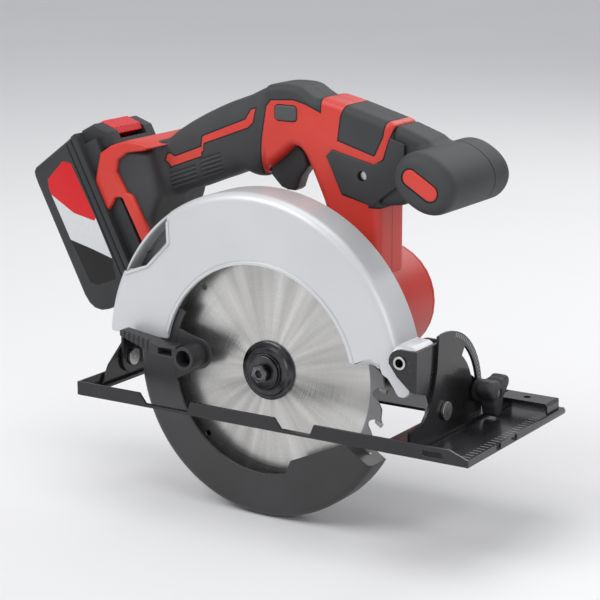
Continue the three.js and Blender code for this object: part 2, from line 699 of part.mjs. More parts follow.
const BARREL_NEAR = CASE_FAR + GAP;
const STATOR_NEAR = 51;
const STATOR_FAR = 81;
const COVER_NEAR = BARREL_FAR + GAP;
const REAR_BEARING_NEAR = 88;

function motorHousing() {
  const barrel = tube('y', MOTOR_X, MOTOR_Z, BARREL_RADIUS - BARREL_WALL, BARREL_RADIUS,
    BARREL_NEAR, BARREL_FAR, 32);
  const flange = tube('y', MOTOR_X, MOTOR_Z, 26, BARREL_RADIUS - 1, BARREL_NEAR, BARREL_NEAR + 2, 32);
  const ribs = [45, 135, 225, 315].map((angle) => {
    const inner = polar(MOTOR_X, MOTOR_Z, STATOR_RADIUS + GAP + 2, angle);
    const outer = polar(MOTOR_X, MOTOR_Z, BARREL_RADIUS - 2, angle);
    return prism('y', bridge(...inner, 2, ...outer, 2.001), STATOR_NEAR, STATOR_FAR);
  });
  return join(barrel, flange, ...ribs);
}

piece('motor_housing', motorHousing(), redPlastic);

function motorEndCover() {
  const shell = turned([
    [0, COVER_NEAR + 2.5],
    [BARREL_RADIUS - BARREL_WALL, COVER_NEAR + 2.5],
    [BARREL_RADIUS - BARREL_WALL, COVER_NEAR],
    [BARREL_RADIUS, COVER_NEAR],
    [BARREL_RADIUS, MOTOR_END - 4],
    [BARREL_RADIUS - 1.5, MOTOR_END - 1.2],
    [BARREL_RADIUS - 5, MOTOR_END],
    [0, MOTOR_END],
  ], MOTOR_X, MOTOR_Z, 32);
  const seat = rod('y', MOTOR_X, MOTOR_Z, 11, REAR_BEARING_NEAR, MOTOR_END - 1, 20);
  const pocket = rod('y', MOTOR_X, MOTOR_Z, 8 + RUN, REAR_BEARING_NEAR - 1, MOTOR_END - 3, 20);
  const vents = [-24, -16, 16, 24].map((z) => (
    box(MOTOR_X - 15, MOTOR_X + 15, COVER_NEAR - 1, MOTOR_END + 1, MOTOR_Z + z - 2, MOTOR_Z + z + 2)
  ));
  return cut(join(shell, seat), pocket, ...vents);
}

piece('motor_end_cover', motorEndCover(), redPlastic);

function stator() {
  const ring = tube('y', MOTOR_X, MOTOR_Z, ROTOR_RADIUS + 0.5, STATOR_RADIUS, STATOR_NEAR, STATOR_FAR, 24);
  const slots = [0, 60, 120, 180, 240, 300].map((angle) => {
    const [x, z] = polar(MOTOR_X, MOTOR_Z, 19, angle);
    return rod('y', x, z, 3.4, STATOR_NEAR - 1, STATOR_FAR + 1, 8);
  });
  return cut(ring, ...slots);
}

piece('stator', stator(), copperWinding);
piece('rotor', tube('y', MOTOR_X, MOTOR_Z, SHAFT_RADIUS + RUN, ROTOR_RADIUS, STATOR_NEAR, STATOR_FAR, 16), darkChrome);
piece('rotor_shaft', rod('y', MOTOR_X, MOTOR_Z, SHAFT_RADIUS, FAST_NEAR - 1, 94, 16), brightSteel);

function fan() {
  const hub = rod('y', MOTOR_X, MOTOR_Z, 7, 44, 49.5, 16);
  const disc = rod('y', MOTOR_X, MOTOR_Z, 23, 44, 45.2, 24);
  const blades = [];
  for (let angle = 0; angle < 360; angle += 40) {
    const root = polar(MOTOR_X, MOTOR_Z, 7, angle);
    const tip = polar(MOTOR_X, MOTOR_Z, 22, angle + 18);
    blades.push(prism('y', bridge(...root, 0.7, ...tip, 0.701), 44.6, 49.5));
  }
  return cut(join(disc, hub, ...blades), rod('y', MOTOR_X, MOTOR_Z, SHAFT_RADIUS + RUN, 43, 51, 16));
}

piece('fan', fan(), darkPlastic);
piece('rotor_bearing_rear', tube('y', MOTOR_X, MOTOR_Z, SHAFT_RADIUS + RUN, 8,
  REAR_BEARING_NEAR + GAP, MOTOR_END - 3.4, 20), brightSteel);

// ---------------------------------------------------------------- upper guard

const [LOCK_X, LOCK_Z] = polar(PIVOT_X, PIVOT_Z, GUIDE_RADIUS, LOCK_ANGLE);
const LUG_NEAR = EAR_NEAR + BRACKET_SHEET + GAP;
const LUG_FAR = EAR_FAR - BRACKET_SHEET - GAP;

function upperGuard() {
  const rise = (Math.asin((GUARD_HEM - GUARD_Z) / GUARD_RADIUS) * 180) / Math.PI;
  const outline = [
    ...arc(GUARD_X, GUARD_Z, GUARD_RADIUS, 14.5, 180 - rise, 32),
    [75.3, 46],
    [92.6, 44.5],
    [101.2, 40.7],
    [106, 34.5],
    [110, 29.5],
    [117, 32.2],
    ...arc(PIVOT_X, PIVOT_Z, 8.6, -25, 80, 6),
  ];
  const shell = join(
    prism('y', outline, GUARD_NEAR, 0, GUARD_ROUND),
    prism('y', outline, -5, GUARD_FAR),
    rod('y', 0, ARBOR_HEIGHT, 27, GUARD_FAR - GUARD_WALL, GUARD_FAR, 40),
  );
  const inner = offset(arc(GUARD_X, GUARD_Z, GUARD_RADIUS, -20, 200, 32), -GUARD_WALL);
  const hollow = join(
    prism('y', inner, GUARD_NEAR + GUARD_WALL, 0, GUARD_ROUND - 1.5),
    prism('y', inner, -5, GUARD_FAR - GUARD_WALL),
  ).intersect(box(-200, 103, -50, 50, -50, 200));
  const lip = cut(
    rod('y', 0, ARBOR_HEIGHT, OPENING_RADIUS + 2.6, GUARD_NEAR - 1, GUARD_NEAR + 1, 48),
    box(-200, 200, -50, 50, -100, GUARD_HEM + 5),
  );
  const opening = rod('y', 0, ARBOR_HEIGHT, OPENING_RADIUS, GUARD_NEAR - 3, GUARD_NEAR + 5, 48);
  const boss = rod('y', 0, ARBOR_HEIGHT, BOSS_RADIUS, GUARD_FAR - 8.4, GUARD_FAR, 28);
  const lug = join(
    rod('y', PIVOT_X, PIVOT_Z, 7.6, LUG_NEAR, GUARD_NEAR + 3, 20),
    rod('y', PIVOT_X, PIVOT_Z, 7.6, GUARD_FAR - 2, LUG_FAR, 20),
  );
  const chute = [[-73, 129], [-72, 110], [-90, 92], [-112, 85], [-125, 81], [-125, 129]];
  return cut(
    join(cut(join(shell, lip), hollow, opening), boss, lug),
    prism('y', chute, GUARD_NEAR - 3, -3),
    rod('y', 0, ARBOR_HEIGHT, BEARING_RADIUS + RUN, 0, GUARD_FAR + 1, 24),
    rod('y', PIVOT_X, PIVOT_Z, PIVOT_PIN_RADIUS + RUN, -30, 30, 20),
    rod('y', LOCK_X, LOCK_Z, STUD_RADIUS + RUN, 5, 20, 12),
  );
}

piece('upper_guard', upperGuard(), silverPaint);

piece('depth_lock_bolt', join(
  rod('y', LOCK_X, LOCK_Z, 6, GUARD_FAR - GUARD_WALL - GAP - 2, GUARD_FAR - GUARD_WALL - GAP, 6),
  rod('y', LOCK_X, LOCK_Z, STUD_RADIUS, GUARD_FAR - GUARD_WALL - GAP - 1, 27, 12),
), brightSteel);

// The depth lock lever turns on the bolt, behind the guide.
function depthLockLever() {
  const near = GUIDE_FAR + GAP;
  const far = near + 9;
  const tip = [LOCK_X - 44, LOCK_Z + 4];
  const lever = join(
    rod('y', LOCK_X, LOCK_Z, 9, near, far, 24),
    prism('y', bridge(LOCK_X, LOCK_Z, 6.5, ...tip, 4.5), near + 2, far),
    rod('y', ...tip, 4.5, near + 2, far + 4, 14),
  );
  return cut(lever, rod('y', LOCK_X, LOCK_Z, STUD_RADIUS + GAP, near - 1, far + 1, 20));
}

piece('depth_lock_lever', depthLockLever(), darkPlastic);

// ---------------------------------------------------------------- lower guard

const HUB_RADIUS = 25.5;

function lowerGuard() {
  const front = 360 + LOWER_FRONT_ANGLE;
  const rim = arc(0, ARBOR_HEIGHT, LOWER_RADIUS, LOWER_REAR_ANGLE, front, 30);
  const nearLeaf = [
    ...rim,
    [65.6, -11.5],
    [24.5, -29.3],
    ...arc(0, ARBOR_HEIGHT, LOWER_INNER, 287, LOWER_REAR_ANGLE, 18),
  ];
  const band = [
    ...rim,
    ...arc(0, ARBOR_HEIGHT, LOWER_RADIUS - LOWER_WALL, front, LOWER_REAR_ANGLE, 30),
  ];
  const leverPad = [[LEVER_X, 24], [LEVER_X, 46], [-70, 52], [-70, 14]];
  const endWall = [
    polar(0, ARBOR_HEIGHT, LOWER_RADIUS, front),
    polar(0, ARBOR_HEIGHT, LOWER_RADIUS, front - 1.5),
    polar(0, ARBOR_HEIGHT, 94.5, front - 1.5),
    polar(0, ARBOR_HEIGHT, 94.5, front),
  ];
  const guard = join(
    prism('y', nearLeaf, LOWER_NEAR, LOWER_NEAR + LOWER_WALL),
    prism('y', leverPad, LOWER_NEAR, LOWER_NEAR + LOWER_WALL),
    rod('y', LEVER_X, LEVER_Z, 11, LOWER_NEAR, LOWER_NEAR + LOWER_WALL, 20),
    prism('y', band, LOWER_NEAR, LOWER_FAR),
    prism('y', endWall, LOWER_NEAR, LOWER_FAR),
    prism('y', [...rim, [0, ARBOR_HEIGHT]], LOWER_FAR - LOWER_WALL, LOWER_FAR),
    rod('y', 0, ARBOR_HEIGHT, HUB_RADIUS, GUARD_FAR - 8.2, GUARD_FAR - GUARD_WALL - GAP, 28),
  );
  return cut(guard, rod('y', 0, ARBOR_HEIGHT, BOSS_RADIUS + RUN * 2, 0, 20, 28));
}

piece('lower_guard', lowerGuard(), darkPlastic);

// The lever's boss stands on the near leaf; its arm reaches back over the upper guard.
function guardLever() {
  const boss = cut(
    rod('y', LEVER_X, LEVER_Z, 8.3, LEVER_NEAR, LOWER_NEAR - GAP, 24),
    rod('y', LEVER_X, LEVER_Z, 6.2, LEVER_NEAR - 1, LEVER_NEAR + 12, 24),
  );
  const arm = cut(
    box(-74, -57.5, LEVER_NEAR, LEVER_NEAR + 10.4, 34, 42),
    box(-72, -60, LEVER_NEAR - 1, LEVER_NEAR + 8, 35.8, 40.2),
  );
  const pad = prism('y', [[-73, 34], [-73, 42], [-80, 44.6], [-105, 48], [-105, 44]],
    LEVER_NEAR, LEVER_NEAR + 11.4);
  return join(boss, arm, pad);
}

piece('guard_lever', guardLever(), darkPlastic);

// A flat spiral of wire that turns the lower guard back over the blade.
function returnSpring() {
  const turns = 2.5;
  const steps = 36;
  const middle = (LOWER_FAR + GUARD_FAR - GUARD_WALL) / 2;
  const points = [];
  for (let i = 0; i <= steps; i += 1) {
    const angle = radians((360 * turns * i) / steps);
    const radius = HUB_RADIUS + 1.6 + (2.4 * turns * i) / steps;
    points.push(new THREE.Vector3(
      radius * Math.cos(angle), middle, ARBOR_HEIGHT + radius * Math.sin(angle),
    ));
  }
  const wire = new THREE.Shape();
  wire.absarc(0, 0, 0.7, 0, 2 * Math.PI);
  return solidOf(new THREE.ExtrudeGeometry(wire, {
    steps,
    curveSegments: 2,
    extrudePath: new THREE.CatmullRomCurve3(points),
  }));
}

piece('return_spring', returnSpring(), brightSteel);

// ---------------------------------------------------------------- housing halves

// A point of the battery's own directions in X and Z.
const alongPack = [Math.sin(radians(PACK_TILT)), -Math.cos(radians(PACK_TILT))];
const pack = (u, v) => [
  PACK_X + u * alongPack[0] - v * alongPack[1],
  PACK_Z + u * alongPack[1] + v * alongPack[0],
];
const packOutline = (...points) => points.map(([u, v]) => pack(u, v));

const handleOutline = [
  [-124, 164], [-106.9, 178.3], [-83.5, 191.7], [-62.3, 201.4], [-46.2, 207.3], [-35.1, 212.7],
  [-25.6, 216.7], [-16.3, 218], [0.7, 217.1], [6.8, 213.2], [14, 209.4], [19.1, 211.4],
  [35.1, 207.9], [74, 197.3],
  [76, 180], [70, 165], [64.7, 150], [64.7, 92],
  [34, 100], [20.3, 140.9], [10.1, 162.7], [3.9, 180.5],
  [-5, 177], [-16, 167], [-26, 159], [-38, 150.7], [-46, 154.3],
  [-67.6, 146.1], [-94.2, 136], [-111.1, 130.9], [-124, 128],
];

const footOutline = packOutline(
  [13, 62.5], [13, 74], [19, 84], [30, 100], [62, 92], [74, 79], [98, 76], [103, 71], [103, 62.5],
);

const handleNear = HANDLE_Y - HANDLE_HALF;
const handleFar = HANDLE_Y + HANDLE_HALF;
const footNear = HANDLE_Y - FOOT_HALF;
const footFar = HANDLE_Y + FOOT_HALF;

const TRIGGER_HALF = 7;
const TRIGGER_PUSH = [-0.45, 0.893]; // the trigger slides up and back
const TRIGGER_TRAVEL = 6;
const TRIGGER_ROOM = 0.6;
const BUTTON = { x0: -17.6, x1: -0.1, z0: 193.5, z1: 204.1 };
const BADGE_SCREW = [52.1, 161.4];
const SCREWS = [[-92, 160], BADGE_SCREW, [54, 120]];

const triggerOutline = [
  [-28.5, 153.2], [-20.1, 145.1], [-9.7, 143.5], [-6.5, 148.2], [1.7, 161.4],
  [-1, 171], [-8, 178], [-22, 171], [-30, 162],
];

// The well is everything the trigger passes through, from its lower edge at rest to its upper
// edge when pulled.
function triggerWell() {
  const travel = TRIGGER_TRAVEL + 1;
  const lower = triggerOutline.slice(0, 6);
  const upper = [...triggerOutline.slice(5), triggerOutline[0]].map(([x, z]) => [
    x + TRIGGER_PUSH[0] * travel,
    z + TRIGGER_PUSH[1] * travel,
  ]);
  const reach = TRIGGER_HALF + TRIGGER_ROOM;
  return prism('y', offset([...lower, ...upper], TRIGGER_ROOM), HANDLE_Y - reach, HANDLE_Y + reach);
}

// Room for the housing screws, their heads sunk below the near face.
const screwRoom = () => SCREWS.flatMap(([x, z]) => [
  rod('y', x, z, 1.8, handleNear - 5, handleFar - 3, 8),
  rod('y', x, z, 3.6, handleNear - 5, handleNear + 5, 8),
]);

const overmouldZone = (change) => (
  box(GRIP_REAR - change, GRIP_FRONT + change, -200, 200, 0, 300)
);

const handleSkin = prism('y', handleOutline, handleNear, handleFar, HANDLE_ROUND);

const underSkin = (depth) => (
  prism('y', offset(handleOutline, -depth), handleNear + depth, handleFar - depth, HANDLE_ROUND - 1)
);

function housing() {
  const foot = prism('y', footOutline, footNear, footFar, 3);
  const skirt = packOutline([16, 48], [53, 48], [60, 56], [100, 56], [100, 65], [16, 65]);
  const skirts = join(
    prism('y', skirt, footNear, footNear + 3.4),
    prism('y', skirt, footFar - 3.4, footFar),
  );
  const footHollow = prism('y', offset(footOutline, -3.5), footNear + 4, footFar - 4);
  const mouth = prism('y', packOutline([24, 60], [92, 60], [92, 68], [24, 68]), footNear + 12, footFar - 12);
  const bosses = SCREWS.map(([x, z]) => rod('y', x, z, 4.8, handleNear + 3, handleFar - 3, 12));
  return cut(
    join(
      cut(join(handleSkin, foot), underSkin(SHELL), footHollow),
      skirts,
      ...bosses,
    ),
    cut(overmouldZone(GAP), underSkin(OVERMOULD + GAP), foot),
    mouth,
    triggerWell(),
    box(BUTTON.x0 - GAP, BUTTON.x1 + GAP, 0, 100, BUTTON.z0 - GAP, BUTTON.z1 + GAP),
    ...screwRoom(),
    rod('y', MOTOR_X, MOTOR_Z, BARREL_RADIUS + GAP, CASE_FAR - 1, MOTOR_END + 2, 32),
    caseBody(GAP, CASE_NEAR - 5, CASE_FAR),
    rod('y', GUARD_X, GUARD_Z, GUARD_RADIUS + 1, 0, GUARD_FAR + 4, 40),
  );
}

const halfNear = box(-300, 200, -100, HANDLE_Y - GAP / 2, 0, 300);
const halfFar = box(-300, 200, HANDLE_Y + GAP / 2, 200, 0, 300);
const wholeHousing = housing();

piece('housing_right', wholeHousing.intersect(halfNear), redPlastic);
piece('housing_left', wholeHousing.intersect(halfFar), redPlastic);

function gripOvermould() {
  const foot = prism('y', offset(footOutline, GAP), footNear - GAP, footFar + GAP);
  return cut(handleSkin.intersect(overmouldZone(0)), underSkin(OVERMOULD), foot, ...screwRoom());
}

const wholeOvermould = gripOvermould();
piece('grip_overmould_right', wholeOvermould.intersect(halfNear), blackRubber);
piece('grip_overmould_left', wholeOvermould.intersect(halfFar), blackRubber);

SCREWS.forEach(([x, z], i) => {
  piece(`housing_screw_${i + 1}`, screw(x, z, handleNear + 1.5, handleFar - 4, 3.1, 1.6), brightSteel);
});

// ---------------------------------------------------------------- front handle

function frontHandle() {
  const section = [];
  for (let angle = 0; angle < 360; angle += 18) {
    const across = FRONT_BAR_HALF_WIDTH * Math.cos(radians(angle));
    const up = FRONT_BAR_HALF_HEIGHT * Math.sin(radians(angle));
    const tilt = radians(FRONT_BAR_TILT);
    section.push([
      FRONT_BAR_X + across * Math.cos(tilt) - up * Math.sin(tilt),
      FRONT_BAR_Z + across * Math.sin(tilt) + up * Math.cos(tilt),
    ]);
  }
  const barNear = HANDLE_Y - FRONT_BAR_LENGTH / 2;
  const barFar = HANDLE_Y + FRONT_BAR_LENGTH / 2;
  const bar = prism('y', section, barNear, barFar, 8);
  const neck = prism('y', [
    [75, 196.5], [97, 189], [112, 178], [104, 150], [92, 152], [84, 158], [72, 160], [68, 168],
  ], handleNear + 2, handleFar - 2, 4);
  const badge = [
    [23.7, 172.6], [28.2, 177.3], [59.9, 169.8], [68.7, 173.2], [73, 188.7],
    [84, 185], [84, 160], [66, 147], [60.2, 141.5], [36.3, 148.6],
  ];
  const badges = join(
    prism('y', badge, handleNear - GAP - 1.3, handleNear - GAP),
    prism('y', badge, handleFar + GAP, handleFar + GAP + 1.3),
    prism('y', [[78, 160], [84, 160], [84, 185], [78, 187]], handleNear - GAP - 1.3, handleFar + GAP + 1.3),
  );
  const clearance = prism('y', offset(handleOutline, GAP), handleNear - GAP, handleFar + GAP);
  const capSeat = (near, far) => prism('y', capOutline(GAP), near, far);
  return cut(
    join(bar, neck, badges),
    clearance,
    rod('y', ...BADGE_SCREW, 3.6, handleNear - 5, handleNear, 12),
    capSeat(barNear - 1, barNear + 1.5),
    capSeat(barFar - 1.5, barFar + 1),
  );
}

// The end caps are long rounded plugs laid along the bar's wide direction.
function capOutline(change) {
  const reach = 8.5;
  const [x0, z0] = polar(FRONT_BAR_X, FRONT_BAR_Z, reach, FRONT_BAR_TILT + 180);
  const [x1, z1] = polar(FRONT_BAR_X, FRONT_BAR_Z, reach, FRONT_BAR_TILT);
  return [
    ...arc(x0, z0, 5.2 + change, FRONT_BAR_TILT + 90, FRONT_BAR_TILT + 270, 6),
    ...arc(x1, z1, 5.2 + change, FRONT_BAR_TILT - 90, FRONT_BAR_TILT + 90, 6),
  ];
}

const CAP_DEPTH = 1.5 - GAP;
const barStart = HANDLE_Y - FRONT_BAR_LENGTH / 2;
const barEnd = HANDLE_Y + FRONT_BAR_LENGTH / 2;
piece('front_handle', frontHandle(), blackRubber);
piece('front_handle_cap_right', prism('y', capOutline(0), barStart, barStart + CAP_DEPTH), redPlastic);
piece('front_handle_cap_left', prism('y', capOutline(0), barEnd - CAP_DEPTH, barEnd), redPlastic);

// ---------------------------------------------------------------- switch and controls

piece('trigger', prism('y', triggerOutline, HANDLE_Y - TRIGGER_HALF, HANDLE_Y + TRIGGER_HALF, 2), darkPlastic);

piece('trigger_switch', box(-57, -33, HANDLE_Y - 8, HANDLE_Y + 8, 165, 185), darkPlastic);

piece('lock_off_button', box(BUTTON.x0, BUTTON.x1, handleNear - 1, handleFar + 1, BUTTON.z0, BUTTON.z1), darkPlastic);

const board = packOutline([30, 77], [68, 77], [68, 74.5], [30, 74.5]);
piece('controller_board', prism('y', board, HANDLE_Y - 22, HANDLE_Y + 22), circuitGreen);

const terminals = packOutline([36, 71.5], [80, 71.5], [80, 63], [36, 63]);
piece('terminal_block', prism('y', terminals, HANDLE_Y - 16, HANDLE_Y + 16), darkPlastic);

// ---------------------------------------------------------------- battery

const packNear = HANDLE_Y - PACK_HALF;
const packFar = HANDLE_Y + PACK_HALF;
const PACK_WALL = 3;

const caseOutline = packOutline(
  [0, 4], [2, 0.8], [6, 0], [103, 0], [112, 4], [PACK_LENGTH, 15], [PACK_LENGTH, PACK_SEAM], [-6, PACK_SEAM],
);

piece('battery_case', cut(
  prism('y', caseOutline, packNear, packFar, 2.5),
  prism('y', packOutline([4, 4], [PACK_LENGTH - 10, 4], [PACK_LENGTH - 4, 16],
    [PACK_LENGTH - 4, PACK_SEAM + 1], [4, PACK_SEAM + 1]), packNear + PACK_WALL, packFar - PACK_WALL),
), darkPlastic);

function batteryCover() {
  const lid = packOutline([-6.2, PACK_SEAM + GAP], [PACK_LENGTH, PACK_SEAM + GAP], [PACK_LENGTH, 50], [-6.9, 50]);
  const rail = packOutline([2, 48], [103, 48], [103, PACK_FACE - 0.4], [2, PACK_FACE - 0.4]);
  const head = packOutline([-8.5, 48], [12, 48], [12, 72], [2, 72], [-8.5, 62]);
  const cover = join(
    prism('y', lid, packNear, packFar),
    prism('y', rail, footNear + 4, footFar - 4),
    prism('y', head, HANDLE_Y - 26, HANDLE_Y + 26),
  );
  const skirtRoom = packOutline([14, PACK_SEAM + 2.6], [120, PACK_SEAM + 2.6], [120, 90], [14, 90]);
  const sideRoom = join(
    prism('y', skirtRoom, packNear - 1, footNear + 4 - GAP),
    prism('y', skirtRoom, footFar - 4 + GAP, packFar + 1),
  );
  return cut(
    cover,
    sideRoom,
    releaseRoom(),
    prism('y', packOutline([6, 40], [96, 40], [96, PACK_FACE - 3], [6, PACK_FACE - 3]),
      footNear + 8, footFar - 8),
  );
}

// The release button sits in the pack's upper end and presses down along it.
const BUTTON_TRAVEL = 3.5;
const RELEASE_HALF = 15;

function releaseButton() {
  const outline = packOutline([-9.2, 52], [4, 52], [4, 69.6], [-1.2, 69.6], [-9.6, 61.6]);
  return prism('y', outline, HANDLE_Y - RELEASE_HALF, HANDLE_Y + RELEASE_HALF);
}

function releaseRoom() {
  const low = 4 + BUTTON_TRAVEL + GAP;
  const outline = packOutline([-20, 52 - GAP], [low, 52 - GAP], [low, 69.6 + GAP], [-20, 69.6 + GAP]);
  return prism('y', outline, HANDLE_Y - RELEASE_HALF - GAP, HANDLE_Y + RELEASE_HALF + GAP);
}

piece('battery_cover', batteryCover(), darkPlastic);
piece('battery_release_button', releaseButton(), redPlastic);

function batteryCells() {
  const pitch = 2 * CELL_RADIUS;
  const cells = [];
  for (let row = 0; row < 2; row += 1) {
    for (let i = 0; i < 5; i += 1) {
      const [x, z] = pack(16 + CELL_RADIUS + i * pitch, 5.5 + CELL_RADIUS + row * pitch);
      cells.push(rod('y', x, z, CELL_RADIUS + 0.15, HANDLE_Y - 32.5, HANDLE_Y + 32.5, 12));
    }
  }
  return join(...cells);
}

piece('battery_cells', batteryCells(), cellBlue);

// ---------------------------------------------------------------- origin on the sole

saw.position.y = -SOLE_POINT_Y;
const model = new THREE.Group();
model.add(saw);

export default model;
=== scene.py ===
"""The looks of a cordless circular saw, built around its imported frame."""

import json
import math

import bmesh
import bpy
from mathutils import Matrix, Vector


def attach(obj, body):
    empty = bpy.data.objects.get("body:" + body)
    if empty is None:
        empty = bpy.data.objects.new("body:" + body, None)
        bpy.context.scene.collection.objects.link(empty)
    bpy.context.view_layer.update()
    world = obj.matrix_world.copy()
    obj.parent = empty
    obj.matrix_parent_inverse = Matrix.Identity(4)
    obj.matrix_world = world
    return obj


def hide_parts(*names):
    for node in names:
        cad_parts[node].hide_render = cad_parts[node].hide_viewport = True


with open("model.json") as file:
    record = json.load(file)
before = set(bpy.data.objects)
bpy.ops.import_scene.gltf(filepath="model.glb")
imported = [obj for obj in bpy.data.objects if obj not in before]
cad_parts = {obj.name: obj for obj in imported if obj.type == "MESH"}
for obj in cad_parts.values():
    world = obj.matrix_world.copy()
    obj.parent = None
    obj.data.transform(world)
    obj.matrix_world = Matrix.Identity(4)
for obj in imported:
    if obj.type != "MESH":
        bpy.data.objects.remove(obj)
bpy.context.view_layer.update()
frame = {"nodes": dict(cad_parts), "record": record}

# ---------------------------------------------------------------- sizes, in millimetres
# Shapes are drawn from the blade: Y = 0 is its middle, X = 0 the arbor, Z = 0 the sole.

MM = 0.001
SOLE_Y = 79.0  # the frame's origin lies this far to the motor side of the blade

ARBOR_Z = 28.0
ARBOR = (0, ARBOR_Z)
BLADE_RADIUS = 92.5
TOOTH_COUNT = 24

GUARD_CENTRE = (-8.0, 33.0)
GUARD_RADIUS = 118.5
GUARD_NEAR = -16.0
GUARD_FAR = 14.0
GUARD_WALL = 2.4
OPENING_RADIUS = 75.5

PIVOT = (113.0, 54.0)
MOTOR = (36.0, 66.0)
BARREL_RADIUS = 39.5

HANDLE_Y = 52.0
HANDLE_HALF = 18.0
HANDLE_NEAR = HANDLE_Y - HANDLE_HALF
HANDLE_FAR = HANDLE_Y + HANDLE_HALF
FOOT_HALF = 35.0
FOOT_NEAR = HANDLE_Y - FOOT_HALF
FOOT_FAR = HANDLE_Y + FOOT_HALF
PACK_HALF = 37.5
PACK_CORNER = (-218.0, 143.9)
PACK_TILT = 27.6
PACK_LENGTH = 117.0
PACK_SEAM = 45.0

BAR_CENTRE = (110.0, 164.5)
BAR_TILT = -31.0
BAR_HALF_LENGTH = 45.0


def place(x, y, z):
    """A point drawn from the blade, in the frame's metres."""
    return Vector((x * MM, (y - SOLE_Y) * MM, z * MM))


def polar(centre, radius, degrees):
    turn = math.radians(degrees)
    return (centre[0] + radius * math.cos(turn), centre[1] + radius * math.sin(turn))


def arc(centre, radius, start, end, steps):
    return [polar(centre, radius, start + (end - start) * i / steps) for i in range(steps + 1)]


def on_pack(*points):
    """Points given along the battery (down its length, forwards from its back) as X and Z."""
    sine, cosine = math.sin(math.radians(PACK_TILT)), math.cos(math.radians(PACK_TILT))
    x, z = PACK_CORNER
    return [(x + u * sine + v * cosine, z - u * cosine + v * sine) for u, v in points]


# ---------------------------------------------------------------- shader words


class Wire:
    """A value in a material. Arithmetic on it adds Math nodes."""

    def __init__(self, finish, socket):
        self.finish = finish
        self.socket = socket

    def maths(self, operation, *values):
        return self.finish.maths(operation, self, *values)

    def __add__(self, other):
        return self.maths("ADD", other)

    __radd__ = __add__

    def __sub__(self, other):
        return self.maths("SUBTRACT", other)

    def __rsub__(self, other):
        return self.finish.maths("SUBTRACT", other, self)

    def __mul__(self, other):
        return self.maths("MULTIPLY", other)

    __rmul__ = __mul__

    def __truediv__(self, other):
        return self.maths("DIVIDE", other)

    def __abs__(self):
        return self.maths("ABSOLUTE")

    def least(self, other):
        return self.maths("MINIMUM", other)

    def most(self, other):
        return self.maths("MAXIMUM", other)

    def share(self):
        """Held between 0 and 1."""
        return self.least(1.0).most(0.0)

    def past(self, edge, blur=0.2):
        """1 where the value is past an edge, with a soft step."""
        return ((self - edge) / blur + 0.5).share()


class Finish:
    """A procedural material on one Principled shader."""

    def __init__(self, name, **constants):
        self.material = bpy.data.materials.new(name)
        self.material.use_nodes = True
        self.tree = self.material.node_tree
        self.tree.nodes.clear()
        output = self.tree.nodes.new("ShaderNodeOutputMaterial")
        self.shader = self.tree.nodes.new("ShaderNodeBsdfPrincipled")
        self.tree.links.new(self.shader.outputs[0], output.inputs["Surface"])
        self.set(**constants)

    def set(self, **values):
        """Sets or links sockets of the shader; underscores stand for spaces."""
        for name, value in values.items():
            self.feed(self.shader.inputs[name.replace("_", " ")], value)

    def feed(self, socket, value):
        if isinstance(value, Wire):
            self.tree.links.new(value.socket, socket)
        else:
            socket.default_value = value

    def node(self, kind, settings=None, inputs=None, output=0):
        """Any node: its settings first, then the values or links of its sockets."""
        node = self.tree.nodes.new("ShaderNode" + kind)
        for name, value in (settings or {}).items():
            if name == "stops":
                ramp = node.color_ramp
                while len(ramp.elements) < len(value):
                    ramp.elements.new(1.0)
                for element, (position, colour) in zip(ramp.elements, value):
                    element.position = position
                    element.color = colour
            else:
                setattr(node, name, value)
        for name, value in (inputs or {}).items():
            self.feed(node.inputs[name], value)
        return Wire(self, node.outputs[output])

    def maths(self, operation, *values):
        return self.node("Math", {"operation": operation}, dict(enumerate(values)))

    def axes(self):
        """X, Y and Z in millimetres, drawn from the blade."""
        point = self.node("TexCoord", output="Object")
        split = [self.node("SeparateXYZ", None, {0: point}, output=i) for i in range(3)]
        return split[0] * 1000, split[1] * 1000 + SOLE_Y, split[2] * 1000

    def noise(self, scale, detail=2.0, stretch=(1, 1, 1), rough=0.5):
        """Noise about 0.5; scale is in grains per metre."""
        point = self.node("TexCoord", output="Object")
        moved = self.node("Mapping", None, {"Vector": point, "Scale": stretch})
        sockets = {"Vector": moved, "Scale": scale, "Detail": detail, "Roughness": rough}
        return self.node("TexNoise", None, sockets)

    def blend(self, share, low, high):
        """A colour between two colours."""
        sockets = {0: share, 6: low, 7: high}
        return self.node("Mix", {"data_type": "RGBA"}, sockets, output=2)

    def bump(self, height, depth_mm, strength=1.0):
        sockets = {"Height": height, "Distance": depth_mm * MM, "Strength": strength}
        self.set(Normal=self.node("Bump", None, sockets))

    def inside(self, outline, x, z):
        """Distance inside a convex outline, in millimetres, negative outside it."""
        area = sum(a[0] * b[1] - b[0] * a[1] for a, b in zip(outline, outline[1:] + outline[:1]))
        side = 1.0 if area > 0 else -1.0
        nearest = None
        for a, b in zip(outline, outline[1:] + outline[:1]):
            length = math.dist(a, b)
            nx, nz = -side * (b[1] - a[1]) / length, side * (b[0] - a[0]) / length
            partial = self.maths("MULTIPLY_ADD", x, nx, -(a[0] * nx + a[1] * nz))
            distance = self.maths("MULTIPLY_ADD", z, nz, partial)
            nearest = distance if nearest is None else nearest.least(distance)
        return nearest


def rgb(red, green, blue):
    return (red, green, blue, 1.0)


# ---------------------------------------------------------------- finishes

RED = rgb(0.60, 0.030, 0.018)
RED_WORN = rgb(0.68, 0.060, 0.040)
RUBBER = rgb(0.030, 0.031, 0.033)
RUBBER_DUSTY = rgb(0.050, 0.051, 0.054)
GROOVE = rgb(0.008, 0.008, 0.009)


